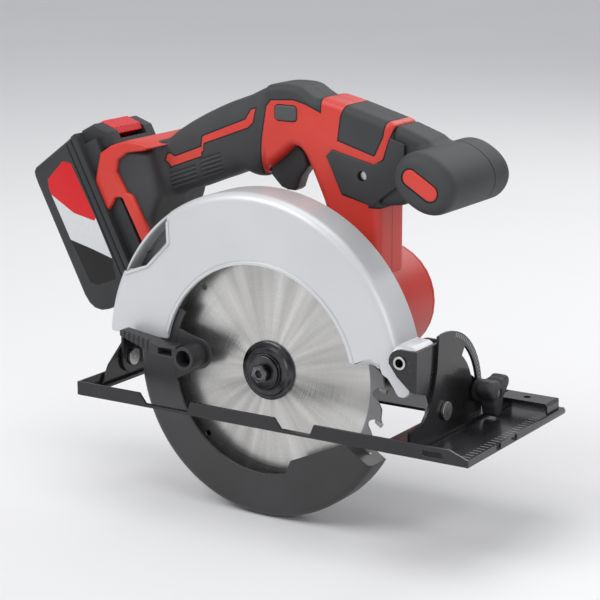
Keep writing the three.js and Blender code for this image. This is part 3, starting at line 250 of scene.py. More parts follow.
def moulded(name, colour, worn, roughness, grain_mm=0.35, depth_mm=0.03):
    """Moulded plastic or rubber: slow colour change and a fine grain."""
    finish = Finish(name)
    slow = finish.noise(18, 3)
    grain = finish.noise(1000 / grain_mm, 1)
    finish.set(
        Base_Color=finish.blend((slow - 0.35) * 2.2, colour, worn),
        Roughness=roughness + (slow - 0.5) * 0.16 + (grain - 0.5) * 0.08,
    )
    finish.bump(grain, depth_mm)
    return finish


def worn_metal(name, colour, dark, roughness, metallic, scratch=0.05, stretch=(1, 1, 1)):
    """Metal with faint scratches and handling marks."""
    finish = Finish(name, Metallic=metallic)
    marks = finish.noise(90, 4, stretch)
    fine = finish.noise(1400, 2, stretch)
    finish.set(
        Base_Color=finish.blend((marks - 0.3) * 1.8, dark, colour),
        Roughness=roughness + (marks - 0.5) * 0.2,
    )
    finish.bump(fine, scratch)
    return finish


def enamel(name):
    """Black enamel on pressed steel, with orange peel and small specks."""
    finish = Finish(name, Coat_Weight=0.3, Coat_Roughness=0.12, Specular_IOR_Level=0.3)
    slow = finish.noise(35, 3)
    peel = finish.noise(420, 1)
    specks = finish.noise(900, 0).past(0.78, 0.05)
    base = finish.blend(slow, rgb(0.010, 0.010, 0.011), rgb(0.022, 0.022, 0.024))
    finish.set(
        Base_Color=finish.blend(specks * 0.5, base, rgb(0.10, 0.10, 0.10)),
        Roughness=0.27 + (slow - 0.5) * 0.18 + specks * 0.2,
    )
    finish.bump(peel, 0.05)
    return finish


def scaled_enamel():
    """The quadrant's enamel, with a graduated edge about the bevel axis."""
    finish = enamel("quadrant_enamel")
    _, y, z = finish.axes()
    across, up = y - 14.0, z - 16.0
    radius = finish.maths("SQRT", across * across + up * up)
    degrees = finish.maths("ARCTAN2", up, across) * (180 / math.pi)
    in_ring = radius.past(48.6, 0.3) * (1 - radius.past(51.6, 0.3))
    in_range = degrees.past(7, 0.4) * (1 - degrees.past(76, 0.4))
    ticks = finish.maths("FRACT", degrees / 3.0)
    tick = (1 - abs(ticks - 0.5).past(0.19, 0.08)) * in_ring * in_range
    finish.set(
        Base_Color=finish.blend(tick, rgb(0.014, 0.014, 0.015), rgb(0.30, 0.30, 0.31)),
        Roughness=0.28 + tick * 0.25 + (finish.noise(35, 3) - 0.5) * 0.18,
    )
    finish.bump(tick * 0.4 + finish.noise(420, 1) * 0.1, 0.4)
    return finish


def base_enamel():
    """The base's enamel, with a ruled edge at the front of the plate."""
    finish = enamel("base_enamel")
    x, y, z = finish.axes()
    strip = x.past(162.5, 0.3) * (1 - x.past(168.5, 0.3)) * z.past(1.8, 0.1)
    along = y.past(-28, 0.3) * (1 - y.past(78, 0.3))
    ticks = finish.maths("FRACT", y / 5.0)
    tick = (1 - abs(ticks - 0.5).past(0.07, 0.03)) * strip * along
    slow = finish.noise(35, 3)
    base = finish.blend(slow, rgb(0.010, 0.010, 0.011), rgb(0.022, 0.022, 0.024))
    finish.set(
        Base_Color=finish.blend(tick, base, rgb(0.35, 0.35, 0.36)),
        Roughness=0.27 + (slow - 0.5) * 0.18 + tick * 0.3,
    )
    return finish


CHUTE = [(-74, 131), (-73.4, 111), (-91, 93), (-111, 86.5), (-121, 83.5), (-132, 84), (-110, 131)]


def silver_paint():
    """Silver paint on cast aluminium: flake sparkle, slow waviness, and painted shade darkening the
    chute's inside with depth.
    """
    finish = Finish("silver_paint", Metallic=0.25, Coat_Weight=0.2, Coat_Roughness=0.25)
    x, y, z = finish.axes()
    within = finish.inside(CHUTE, x, z).past(-0.6, 0.8)
    across, up = x - GUARD_CENTRE[0], z - GUARD_CENTRE[1]
    radius = finish.maths("SQRT", across * across + up * up)
    inside_wall = 1 - radius.past(GUARD_RADIUS - 2.9, 0.4)
    # Painted shade: the chute's floor and inner walls turn dark grey with depth past the near face,
    # standing in for the shadow inside the recess.
    chute_painted_shade = within * inside_wall * (y - GUARD_NEAR).past(4.0, 4.0)
    flake = finish.noise(2600, 1)
    slow = finish.noise(14, 2)
    base = finish.blend((slow - 0.3) * 1.6, rgb(0.60, 0.61, 0.62), rgb(0.68, 0.69, 0.70))
    paint = finish.blend((flake - 0.55) * 1.2, base, rgb(0.80, 0.81, 0.82))
    finish.set(
        Base_Color=finish.blend(chute_painted_shade * 0.9, paint, rgb(0.10, 0.10, 0.105)),
        Roughness=0.38 + (flake - 0.5) * 0.12 + (slow - 0.5) * 0.08,
    )
    finish.bump(flake * 0.2 + finish.noise(160, 2), 0.03)
    return finish


def saw_plate():
    """Ground plate: rings and painted sheen in faint sectors inside, a matt coated ring outside."""
    finish = Finish("saw_plate")
    x, _, z = finish.axes()
    up = z - ARBOR_Z
    radius = finish.maths("SQRT", x * x + up * up)
    turn = finish.maths("ARCTAN2", up, x)
    ring_place = finish.node("CombineXYZ", None, {0: radius * 0.6, 1: turn * 0.25})
    rings = finish.node("TexNoise", None, {"Vector": ring_place, "Scale": 4.0, "Detail": 4.0})
    # Painted sheen: lighter and darker sectors in the ground steel's colour stand in for the streaked
    # reflections of its circular grinding.
    sheen_ray_place = finish.node(
        "CombineXYZ",
        None,
        {
            0: finish.maths("COSINE", turn) * 2.2,
            1: finish.maths("SINE", turn) * 2.2,
            2: radius * 0.004,
        },
    )
    sheen_rays = finish.node("TexNoise", None, {"Vector": sheen_ray_place, "Scale": 2.4, "Detail": 3.0})
    coated = radius.past(79.6, 0.5)
    ground = finish.blend((sheen_rays - 0.3) * 1.8, rgb(0.44, 0.43, 0.42), rgb(0.76, 0.75, 0.73))
    matt = finish.blend(rings, rgb(0.20, 0.20, 0.205), rgb(0.27, 0.27, 0.275))
    finish.set(
        Base_Color=finish.blend(coated, ground, matt),
        Metallic=0.9 - coated * 0.5,
        Roughness=0.30 + (rings - 0.5) * 0.3 + coated * 0.22,
    )
    finish.bump(rings, 0.05)
    return finish


# Colour areas of the handle, as (x, z) outlines on its side.
GRIP_STRIPES = [
    [(-109.0, 161.6), (-109.6, 157.6), (-104.6, 153.6), (-102.0, 160.4), (-106.6, 162.6)],
    [(-105.6, 153.4), (-79.4, 163.2), (-79.2, 169.7), (-104.0, 160.0)],
    [(-79.4, 166.2), (-77.8, 166.8), (-77.0, 176.4), (-78.6, 176.6)],
    [(-78.0, 172.2), (-40.3, 186.4), (-42.3, 191.6), (-78.2, 177.2)],
    [(-42.6, 191.4), (-40.3, 186.4), (-36.2, 190.2), (-34.8, 199.6), (-38.5, 198.6)],
]
GRIP_RIBS = [
    [(-107, 150.5), (-84.5, 157.5), (-84.5, 144.5), (-107, 137.0)],
    [(-81.0, 162.5), (-63.0, 169.0), (-63.0, 153.5), (-81.0, 146.5)],
]
RED_PANEL = [
    [(-20.7, 206.6), (-24.4, 202.4), (-28.5, 179.8), (-31.6, 155.0), (-26.0, 148.0),
     (78.0, 60.0), (110.0, 160.0), (16.0, 202.0), (6.0, 205.8), (-2.8, 207.8)],
    [(19.6, 230.0), (19.2, 180.0), (60.0, 150.0), (74.0, 160.0), (74.0, 199.0), (72.0, 230.0)],
]
TOP_INSERT = [(30.4, 183.6), (28.9, 187.2), (34.0, 199.5), (38.0, 230.0), (75.0, 230.0),
              (67.7, 189.0), (61.2, 175.4), (60.0, 175.2)]
BADGE_AREAS = [
    [(23.8, 172.1), (28.8, 177.0), (62.0, 169.4), (90.0, 163.0), (90.0, 142.0), (58.0, 142.0),
     (36.0, 146.8)],
    [(59.8, 169.0), (96.0, 192.5), (130.0, 192.0), (130.0, 140.0), (60.0, 140.0)],
    [(67.2, 173.8), (73.5, 193.0), (75.8, 200.0), (130.0, 200.0), (130.0, 140.0), (56.2, 140.0)],
]


def join_areas(finish, outlines, x, z):
    whole = None
    for outline in outlines:
        area = finish.inside(outline, x, z)
        whole = area if whole is None else whole.most(area)
    return whole


def handle_skin():
    """Red plastic and black rubber of the two housing halves, with their seams."""
    finish = Finish("handle_skin")
    x, y, z = finish.axes()
    stripes = join_areas(finish, GRIP_STRIPES, x, z)
    panel = join_areas(finish, RED_PANEL, x, z)
    insert = finish.inside(TOP_INSERT, x, z)
    badge = join_areas(finish, BADGE_AREAS, x, z)
    red_area = stripes.most(panel.least(insert * -1).least(badge * -1))
    red = red_area.past(0.0, 0.25)
    seam = red_area.past(-0.9, 0.25) - red_area.past(-0.1, 0.25)
    ribs = join_areas(finish, GRIP_RIBS, x, z).past(0.3, 0.4)
    rib_wave = finish.maths("SINE", (z - x * 0.36) * 2.05)
    halves = 1 - abs(y - HANDLE_Y).past(0.3, 0.2)
    slow = finish.noise(18, 3)
    grain = finish.noise(2800, 1)
    rubber = finish.blend((slow - 0.35) * 2.2, RUBBER, RUBBER_DUSTY)
    paint = finish.blend((slow - 0.35) * 2.2, RED, RED_WORN)
    body = finish.blend(red, rubber, paint)
    groove = seam.most(halves * 0.8)
    finish.set(
        Base_Color=finish.blend(groove, body, GROOVE),
        Roughness=0.62 - red * 0.2 + (slow - 0.5) * 0.14 + (grain - 0.5) * 0.08,
    )
    height = 1 - groove + red * 0.25 + ribs * (rib_wave * 0.5 - 0.5) + grain * 0.03
    finish.bump(height, 0.7)
    return finish


def battery_skin():
    """Dark moulding with a printed panel of three plain colours on each side."""
    finish = Finish("battery_skin", Specular_IOR_Level=0.35)
    x, y, z = finish.axes()
    panel = finish.inside(
        [(-201.9, 137.9), (-187.7, 152.6), (-180.3, 151.7), (-158.8, 114.2), (-144.9, 86.7),
         (-141.4, 71), (-158.3, 64.6), (-165, 65.9), (-181.5, 94.5), (-200.7, 130.4)], x, z)
    on_side = abs(y - HANDLE_Y).past(PACK_HALF - 0.6, 0.2)
    printed = panel.past(0.0, 0.3) * on_side
    red_part = finish.inside(
        [(-215, 140), (-190, 165), (-155, 120), (-160.0, 111.8), (-178.5, 115.5), (-199.0, 127.0)], x, z)
    dark_part = finish.inside(
        [(-183, 96.5), (-163.0, 91.0), (-146.0, 87.0), (-130, 80), (-150, 50), (-190, 60)], x, z)
    light = finish.blend(finish.noise(500, 2), rgb(0.60, 0.61, 0.62), rgb(0.68, 0.69, 0.70))
    colours = finish.blend(red_part.past(0.0, 0.3), light, rgb(0.62, 0.010, 0.014))
    colours = finish.blend(dark_part.past(0.0, 0.3), colours, rgb(0.004, 0.003, 0.003))
    slow = finish.noise(18, 3)
    grain = finish.noise(2400, 1)
    body = finish.blend((slow - 0.35) * 2.2, rgb(0.030, 0.031, 0.033), rgb(0.048, 0.049, 0.052))
    finish.set(
        Base_Color=finish.blend(printed, body, colours),
        Roughness=0.52 - printed * 0.22 + (slow - 0.5) * 0.14,
    )
    finish.bump(grain * (1 - printed) + printed * 1.4, 0.04)
    return finish


def button_red():
    """The battery button, with fine ribs across it."""
    finish = Finish("button_red")
    y = finish.axes()[1]
    wave = finish.maths("SINE", y * 2.3)
    slow = finish.noise(40, 2)
    finish.set(
        Base_Color=finish.blend(slow, rgb(0.62, 0.010, 0.016), rgb(0.74, 0.030, 0.036)),
        Roughness=0.36 + (slow - 0.5) * 0.15,
    )
    finish.bump(wave * 0.5 + finish.noise(2000, 1) * 0.1, 0.5)
    return finish


red_plastic = moulded("red_plastic", RED, RED_WORN, 0.42)
black_rubber = moulded("black_rubber", RUBBER, RUBBER_DUSTY, 0.62)
dark_plastic = moulded("dark_plastic", rgb(0.026, 0.026, 0.028), rgb(0.042, 0.042, 0.045), 0.5)
guard_plastic = moulded("guard_plastic", rgb(0.030, 0.030, 0.031), rgb(0.046, 0.046, 0.048), 0.36)
grey_plastic = moulded("grey_plastic", rgb(0.060, 0.064, 0.068), rgb(0.085, 0.090, 0.095), 0.5)
painted_steel = enamel("painted_steel")
quadrant_enamel = scaled_enamel()
plate_enamel = base_enamel()
silver = silver_paint()
blade_steel = saw_plate()
bright_steel = worn_metal("bright_steel", rgb(0.72, 0.72, 0.71), rgb(0.45, 0.45, 0.45), 0.28, 1.0)
dark_chrome = worn_metal("dark_chrome", rgb(0.11, 0.11, 0.115), rgb(0.04, 0.04, 0.042), 0.24, 1.0)
cast_aluminium = worn_metal(
    "cast_aluminium", rgb(0.56, 0.57, 0.58), rgb(0.40, 0.41, 0.42), 0.5, 0.9, 0.12
)
winding = worn_metal("winding", rgb(0.62, 0.25, 0.11), rgb(0.30, 0.10, 0.05), 0.4, 0.9, 0.1, (1, 6, 1))
circuit_board = moulded("circuit_board", rgb(0.010, 0.10, 0.030), rgb(0.02, 0.15, 0.05), 0.4)
cell_jacket = moulded("cell_jacket", rgb(0.03, 0.12, 0.28), rgb(0.05, 0.17, 0.34), 0.35)
button_finish = button_red()
battery_finish = battery_skin()
handle_finish = handle_skin()
carbide = worn_metal("carbide", rgb(0.42, 0.41, 0.40), rgb(0.24, 0.235, 0.23), 0.35, 0.9)
bolt_steel = worn_metal("bolt_steel", rgb(0.30, 0.30, 0.31), rgb(0.13, 0.13, 0.135), 0.3, 1.0)

# ---------------------------------------------------------------- mesh tools


def as_object(bm, name):
    mesh = bpy.data.meshes.new(name)
    bm.to_mesh(mesh)
    bm.free()
    made = bpy.data.objects.new(name, mesh)
    bpy.context.scene.collection.objects.link(made)
    return made


def slab(axis, outline, low, high, edge=0.0, segments=4, clamp=True):
    """An outline given thickness along an axis, its long edges rounded."""
    spots = {
        "x": lambda a, b: place(low, a, b),
        "y": lambda a, b: place(a, low, b),
        "z": lambda a, b: place(a, b, low),
    }
    thickness = Vector([(high - low) * MM if axis == name else 0.0 for name in "xyz"])
    bm = bmesh.new()
    face = bm.faces.new([bm.verts.new(spots[axis](a, b)) for a, b in outline])
    made = bmesh.ops.extrude_face_region(bm, geom=[face])
    raised = [item for item in made["geom"] if isinstance(item, bmesh.types.BMVert)]
    bmesh.ops.translate(bm, verts=raised, vec=thickness)
    bmesh.ops.recalc_face_normals(bm, faces=bm.faces[:])
    if edge:
        index = "xyz".index(axis)
        long_edges = [e for e in bm.edges if abs((e.verts[0].co - e.verts[1].co)[index]) < MM / 100]
        bmesh.ops.bevel(
            bm, geom=long_edges, offset=edge * MM, segments=segments, profile=0.5,
            affect="EDGES", material=-1, clamp_overlap=clamp,
        )
    return as_object(bm, "slab")


def disc(axis, centre, radius, low, high, edge=0.0, sides=64, segments=3):
    return slab(axis, arc(centre, radius, 0, 360 - 360 / sides, sides - 1), low, high, edge, segments)


def ring(axis, centre, inner, outer, low, high, edge=0.0, sides=64):
    outside = disc(axis, centre, outer, low, high, edge, sides)
    return carve(outside, disc(axis, centre, inner, low - 1, high + 1, 0, sides))


def settle(thing):
    """Replaces the mesh by what its modifiers make."""
    evaluated = thing.evaluated_get(bpy.context.evaluated_depsgraph_get())
    mesh = bpy.data.meshes.new_from_object(evaluated)
    thing.modifiers.clear()
    thing.data = mesh
    return thing


def combine(operation, first, others):
    for other in others:
        change = first.modifiers.new("combine", "BOOLEAN")
        change.operation = operation
        change.solver = "EXACT"
        change.object = other
    settle(first)
    for other in others:
        bpy.data.objects.remove(other)
    return first


def carve(first, *others):
    return combine("DIFFERENCE", first, others)


def weld(first, *others):
    return combine("UNION", first, others)


def soften(thing, grain_mm, passes):
    """One even skin over everything, with its corners worn round."""
    change = thing.modifiers.new("skin", "REMESH")
    change.mode = "VOXEL"
    change.voxel_size = grain_mm * MM
    settle(thing)
    bm = bmesh.new()
    bm.from_mesh(thing.data)
    for _ in range(passes):
        bmesh.ops.smooth_vert(
            bm, verts=bm.verts[:], factor=0.5, use_axis_x=True, use_axis_y=True, use_axis_z=True
        )
    bm.to_mesh(thing.data)
    bm.free()
    return thing


def merged_copy(node):
    """A CAD node's shape with its triangles merged, ready for rounding."""
    bm = bmesh.new()
    bm.from_mesh(frame["nodes"][node].data)
    bmesh.ops.remove_doubles(bm, verts=bm.verts[:], dist=MM / 200)
    bmesh.ops.dissolve_limit(
        bm, angle_limit=math.radians(0.6), verts=bm.verts[:], edges=bm.edges[:]
    )
    return as_object(bm, node + "_copy")


def shade(thing, degrees=32):
    """Smooth shading, with the corners sharper than an angle kept."""
    bm = bmesh.new()
    bm.from_mesh(thing.data)
    limit = math.radians(degrees)
    for face in bm.faces:
        face.smooth = True
    for edge in bm.edges:
        edge.smooth = not (edge.is_manifold and edge.calc_face_angle(0.0) > limit)
    bm.to_mesh(thing.data)
    bm.free()


def finished(thing, name, body, finish, nodes, edge=0.35, segments=2, clamp=True):
    """Rounds the last edges, gives the finish and hands the piece to its body."""
    thing.name = name
    thing.data.name = name
    shade(thing)
    if edge:
        rounding = thing.modifiers.new("rounding", "BEVEL")
        rounding.width = edge * MM
        rounding.segments = segments
        rounding.limit_method = "ANGLE"
        rounding.angle_limit = math.radians(38)
        rounding.use_clamp_overlap = clamp
        rounding.harden_normals = True
    thing.data.materials.clear()
    thing.data.materials.append(finish.material)
    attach(thing, body)
    if nodes:
        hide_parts(*nodes)
    return thing


BODIES = frame["record"]["behaviour"]["bodies"]
BODY_OF = {node: body for body, nodes in BODIES.items() for node in nodes}
SLOT_OF = {row["node"]: row["material_slot"] for row in frame["record"]["subparts"]}


def from_cad(node, finish, edge=0.35, segments=2):
    """A CAD node's own shape with rounded edges, shown in its place."""
    return finished(
        merged_copy(node), node + "_shown", BODY_OF[node], finish, [node], edge, segments
    )


# ---------------------------------------------------------------- guards


LOCK = polar(PIVOT, 149.0, 180.0)
CHUTE_RIM = [(-71.7, 126), (-71, 110), (-89.7, 91.2), (-103, 86.2), (-109.6, 83.6), (-108.6, 86.8),
             (-102.5, 89.0), (-91.5, 93.8), (-74.2, 111.2), (-74.9, 125)]
CHUTE_FLOOR = [(-60, 140), (-66, 106), (-88, 86), (-118, 74), (-140, 74), (-140, 150), (-60, 150)]
CHUTE_DEPTH = 3.0
EDGE_ROUND = 7
ROUND_ABOVE = 43  # the upper guard's near edge stays square below this height
CHUTE_WALL_FROM, CHUTE_WALL_TO = 123, 156  # degrees about the guard's centre


def round_near_edge(shell, near_y, round_mm, steps, on_rim):
    """Turns a solid's near edge over in a wide round, along the edges that on_rim picks."""
    bm = bmesh.new()
    bm.from_mesh(shell.data)
    near = place(0, near_y, 0).y
    rim = [
        edge for edge in bm.edges
        if all(abs(spot.co.y - near) < MM / 100 for spot in edge.verts) and on_rim(edge)
    ]
    bmesh.ops.bevel(
        bm, geom=rim, offset=round_mm * MM, segments=steps, profile=0.5, affect="EDGES",
        material=-1, clamp_overlap=False,
    )
    bm.to_mesh(shell.data)
    bm.free()
    return shell


def upper_guard():
    outline = [
        *arc(GUARD_CENTRE, GUARD_RADIUS, 14.5, 175.6, 90),
        (75.3, 46), (88, 45.6), (92.6, 44.5), (97, 42.8), (101.2, 40.7),
        (104, 37), (106, 34.5), (108, 31), (110, 29.5), (113.5, 29.6), (117, 32.2),
        *arc(PIVOT, 8.6, -25, 80, 12),
    ]
    shell = slab("y", outline, GUARD_NEAR, GUARD_FAR)
    shell = round_near_edge(
        shell, GUARD_NEAR, EDGE_ROUND, 7, lambda edge: edge.verts[0].co.z > ROUND_ABOVE * MM
    )
    boss = disc("y", ARBOR, 27, GUARD_FAR - GUARD_WALL, GUARD_FAR, 0.6)
    lip = ring("y", ARBOR, OPENING_RADIUS - 1, OPENING_RADIUS + 2.8, GUARD_NEAR - 1, -10, 0.9, 96)
    lip = carve(lip, slab("z", [(-200, -60), (200, -60), (200, 60), (-200, 60)], -100, 47))
    ridge = slab("y", CHUTE_RIM, GUARD_NEAR - 1.0, -6, 0.8, 3, clamp=False)
    shell = weld(shell, boss, lip, ridge)
    hollow = carve(
        slab("y", arc(GUARD_CENTRE, GUARD_RADIUS - GUARD_WALL, -20, 200, 96),
             GUARD_NEAR + GUARD_WALL, GUARD_FAR - GUARD_WALL, 4, 4),
        slab("y", [(103, -50), (200, -50), (200, 200), (103, 200)], -60, 60),
        slab("y", CHUTE_FLOOR, CHUTE_DEPTH, 20),
    )
    opening = disc("y", ARBOR, OPENING_RADIUS, -30, -9, 0, 96)
    chute = slab("y", CHUTE, -30, CHUTE_DEPTH, 0)
    lugs = [
        disc("y", PIVOT, 7.6, -17.9, GUARD_NEAR + 3, 0.6, 40),
        disc("y", PIVOT, 7.6, GUARD_FAR - 2, 14.8, 0.6, 40),
    ]
    shell = weld(carve(shell, hollow, opening, chute), *lugs)
    band = [
        *arc(GUARD_CENTRE, GUARD_RADIUS - 0.1, CHUTE_WALL_FROM, CHUTE_WALL_TO, 24),
        *arc(GUARD_CENTRE, GUARD_RADIUS - GUARD_WALL, CHUTE_WALL_TO, CHUTE_WALL_FROM, 24),
    ]
    chute_wall = slab("y", band, -9.6, CHUTE_DEPTH + 1, 0.9, 2, clamp=False)
    shell = weld(shell, chute_wall)
    bores = [
        disc("y", ARBOR, 20.9, -5, 20, 0, 64),
        disc("y", PIVOT, 4.2, -30, 30, 0, 32),
        disc("y", LOCK, 3.2, 5, 20, 0, 24),
    ]
    shell = carve(shell, *bores)
    return finished(
        shell, "upper_guard_shown", "saw_body", silver, ["upper_guard"], 0.5, 2, False
    )


TIP_REACH = 6  # how far a carbide tip runs down the blade
SLOT_HALF = 0.35


def tooth_spot(tooth, radius, share):
    """A place on one tooth: its radius, and its share of the pitch behind the tip."""
    return polar(ARBOR, radius, -(tooth + share) * 360 / TOOTH_COUNT)


def expansion_slot(turn):
    """A round hole and the thin slot that runs out from it, slanting."""
    hole = polar(ARBOR, 74, turn)
    outer = polar(ARBOR, 86, turn + 3.5)
    across = (outer[1] - hole[1], hole[0] - outer[0])
    size = math.hypot(*across) / SLOT_HALF
    dx, dz = across[0] / size, across[1] / size
    slot = [
        (hole[0] - dx, hole[1] - dz), (outer[0] - dx, outer[1] - dz),
        (outer[0] + dx, outer[1] + dz), (hole[0] + dx, hole[1] + dz),
    ]
    return [disc("y", hole, 2.2, -3, 3, 0, 20), slab("y", slot, -3, 3)]


def blade():
    root = BLADE_RADIUS - 11
    steps = [
        (BLADE_RADIUS - 0.6, 0.015), (BLADE_RADIUS - 5, -0.05), (root + 4, -0.02), (root + 1.2, 0.06),
        (root, 0.17), (root + 0.8, 0.28), (root + 3.5, 0.38), (BLADE_RADIUS - 5, 0.50),
        (BLADE_RADIUS - 3.2, 0.62), (BLADE_RADIUS - 2.4, 0.92),
    ]
    outline = [
        tooth_spot(tooth, radius, share) for tooth in range(TOOTH_COUNT) for radius, share in steps
    ]
    holes = [disc("y", ARBOR, 10, -3, 3, 0, 48)]
    for turn in (136, 226, 316, 46):
        holes += expansion_slot(turn)
    plate = carve(slab("y", outline, -0.8, 0.8, 0), *holes)
    finished(plate, "blade_plate", "blade_spindle", blade_steel, ["blade"],
             0.12, 1, clamp=False)
    corners = [
        (BLADE_RADIUS, 0), (BLADE_RADIUS - TIP_REACH, -0.055), (BLADE_RADIUS - TIP_REACH, 0.06),
        (BLADE_RADIUS - 0.8, 0.13),
    ]
    tips = gathered([
        slab("y", [tooth_spot(tooth, *corner) for corner in corners], -1.15, 1.15, 0.2, 1)
        for tooth in range(TOOTH_COUNT)
    ])
    finished(tips, "blade_tips", "blade_spindle", carbide, [], 0)


def gathered(things):
    """Several meshes as one piece."""
    bm = bmesh.new()
    for thing in things:
        bm.from_mesh(thing.data)
        bpy.data.objects.remove(thing)
    return as_object(bm, "gathered")


def turned_piece(name, profile, centre, body, finish, nodes, sides=72, edge=0.2):
    """A profile of (radius, y) points spun about an axis along Y."""
    bm = bmesh.new()
    spots = [bm.verts.new(place(centre[0] + radius, y, centre[1])) for radius, y in profile]
    loop = [bm.edges.new((a, b)) for a, b in zip(spots, spots[1:] + spots[:1])]
    bmesh.ops.spin(
        bm, geom=spots + loop, cent=place(centre[0], 0, centre[1]), axis=(0, 1, 0), dvec=(0, 0, 0),
        angle=2 * math.pi, steps=sides, use_merge=True, use_duplicate=False,
    )
    bmesh.ops.remove_doubles(bm, verts=bm.verts[:], dist=MM / 200)
    bmesh.ops.recalc_face_normals(bm, faces=bm.faces[:])
    return finished(as_object(bm, name), name, body, finish, nodes, edge, 2, clamp=False)


def arbor_fittings():
    turned_piece("outer_flange_shown", [
        (4.2, -2), (13, -2), (13, -1.1), (20.5, -1.1), (20.5, -2.6), (19.6, -3.3), (17.6, -3.7),
        (16.6, -4.9), (13.2, -5.4), (12.8, -7.6), (4.2, -7.6),
    ], ARBOR, "blade_spindle", dark_chrome, ["outer_flange"])
    turned_piece("blade_washer_shown", [
        (4.2, -7.9), (11.7, -7.9), (11.7, -8.8), (11.2, -9.2), (4.2, -9.2),
    ], ARBOR, "blade_spindle", dark_chrome, ["blade_washer"])
    head = slab("y", arc(ARBOR, 6.6, 15, 315, 5), -14, -9.5, 0.7, 2)
    crown = disc("y", ARBOR, 6.25, -20, -5, 0, 48)
    head = combine("INTERSECT", head, [crown])
    socket = slab("y", arc(ARBOR, 3.1, 0, 300, 5), -20, -10.5)
    head = carve(head, socket)
    finished(head, "blade_bolt_shown", "blade_spindle", bolt_steel,
             ["blade_bolt"], 0.25, 2)


LEVER = (-51, 35)  # the lever's boss on the lower guard


def lower_guard():
    rim = arc(ARBOR, 100.7, 150, 329.5, 90)
    sector = [*rim, (66.5, -10.0), (60, -13.5), (24.5, -29.3), *arc(ARBOR, 70, 287, 150, 60)]
    solid = slab("y", sector, -13, 9, 0)
    solid = round_near_edge(solid, -13, 5, 5, lambda edge: all(
        math.hypot(spot.co.x, spot.co.z - ARBOR_Z * MM) > 99.5 * MM for spot in edge.verts
    ))
    far = slab("y", [*arc(ARBOR, 100.5, 150.1, 329.4, 90), ARBOR], 6.9, 8.93, 0.4, 2)
    hub = disc("y", ARBOR, 25.5, 5.8, 11.2, 0.5)
    pad = slab("y", [(-51, 24), (-51, 46), (-70, 52), (-70, 14)], -12.95, -11.1)
    stand = disc("y", LEVER, 11, -12.9, -11.05)
    hollow = slab("y", [*arc(ARBOR, 98.6, 140, 326.5, 90), ARBOR], -11.2, 7.2, 3, 3)
    guard = weld(carve(solid, hollow), far, hub, pad, stand)
    guard = carve(guard, disc("y", ARBOR, 20.9, 0, 20, 0, 64))
    finished(guard, "lower_guard_shown", "lower_guard", guard_plastic, ["lower_guard"],
             0.35, 2, clamp=False)


def guard_lever():
    boss = ring("y", LEVER, 5.8, 8.3, -30.4, -13.3, 0.7, 40)
    boss = weld(boss, disc("y", LEVER, 6.2, -18, -13.3, 0, 40))
    arm = slab("y", [(-74, 34), (-74, 42.2), (-57, 42.6), (-57, 33.6)], -30.4, -20, 1.2, 3)
    window = slab("y", [(-72, 35.8), (-72, 40.2), (-60.5, 40.4), (-60.5, 35.6)], -40, -22.4, 0.6, 2)
    pad = [(-72.5, 34), (-72.5, 42), (-80, 44.6), (-105, 48), (-105, 44), (-90, 39)]
    pad = slab("y", pad, -30.4, -19, 1.1, 3)
    ribs = [
        slab("y", [(x, 30), (x + 1.4, 30), (x + 1.4, 60), (x, 60)], -40, -29.6)
        for x in (-101, -97, -93, -89, -85, -81)
    ]
    lever = carve(weld(boss, arm, pad), window, *ribs)
    finished(lever, "guard_lever_shown", "lower_guard", dark_plastic, ["guard_lever"],
             0.4, 2, clamp=False)


# ---------------------------------------------------------------- handle and foot

HANDLE = [
    (-124, 164), (-115, 171.5), (-106.9, 178.3), (-95, 185.6), (-83.5, 191.7), (-72.5, 197),
    (-62.3, 201.4), (-54, 204.5), (-46.2, 207.3), (-35.1, 212.7), (-25.6, 216.7), (-16.3, 218),
    (-6, 218), (0.7, 217.1), (6.8, 213.2), (14, 209.4), (19.1, 211.4), (35.1, 207.9), (74, 197.3),
    (76, 180), (70, 165), (64.7, 150), (64.7, 92), (34, 100), (27, 121), (20.3, 140.9),
    (10.1, 162.7), (5.5, 171), (1, 176), (-5, 177), (-16, 167), (-26, 159), (-34, 151.6),
    (-38, 150.7), (-46, 154.3), (-56, 150.2), (-67.6, 146.1), (-80, 141), (-94.2, 136),
    (-111.1, 130.9), (-124, 128),
]
FOOT = on_pack(
    (13, 62.5), (13, 74), (19, 84), (30, 100), (62, 92), (74, 79), (98, 76), (103, 71), (103, 62.5)
)
COLLAR = [
    (-109.5, 168.6), (-118, 171.2), (-132, 171.8), (-146.6, 167), (-156, 160.9), (-161.3, 139.2),
    (-150.6, 119), (-146.4, 124.2), (-143.7, 129.3), (-140.2, 130.2), (-137.1, 129.9), (-130, 117),
    (-117.5, 94.5), (-110.3, 100.5), (-116.2, 112), (-127.9, 132.9), (-133.1, 134.5),
    (-141.9, 148.5), (-140.4, 157.1), (-132.4, 163), (-118, 165.5),
]
TRIGGER = [
    (-28.5, 153.2), (-24.5, 149.2), (-20.1, 145.1), (-15, 143.6), (-9.7, 143.5), (-7.4, 145.2),
    (-6.5, 148.2), (-4.6, 153.5), (1.7, 161.4), (-1, 171), (-8, 178), (-22, 171), (-30, 162),
]
BADGE_SCREW = (52.1, 161.4)
BADGE_SCREW_HOLE = 3.6
TRIGGER_PUSH = (-0.45, 0.893)  # the way the trigger is pressed, as X and Z
BUTTON_ROUND = 2.8
BUTTON = [(-17.6, 193.5), (-17.6, 204.1), (-0.1, 204.1), (-0.1, 193.5)]


def spread(outline, distance):
    """An outline drawn a little larger about its middle."""
    cx = sum(x for x, _ in outline) / len(outline)
    cz = sum(z for _, z in outline) / len(outline)
    grown = []
    for x, z in outline:
        reach = math.hypot(x - cx, z - cz)
        grown.append((cx + (x - cx) * (1 + distance / reach), cz + (z - cz) * (1 + distance / reach)))
    return grown


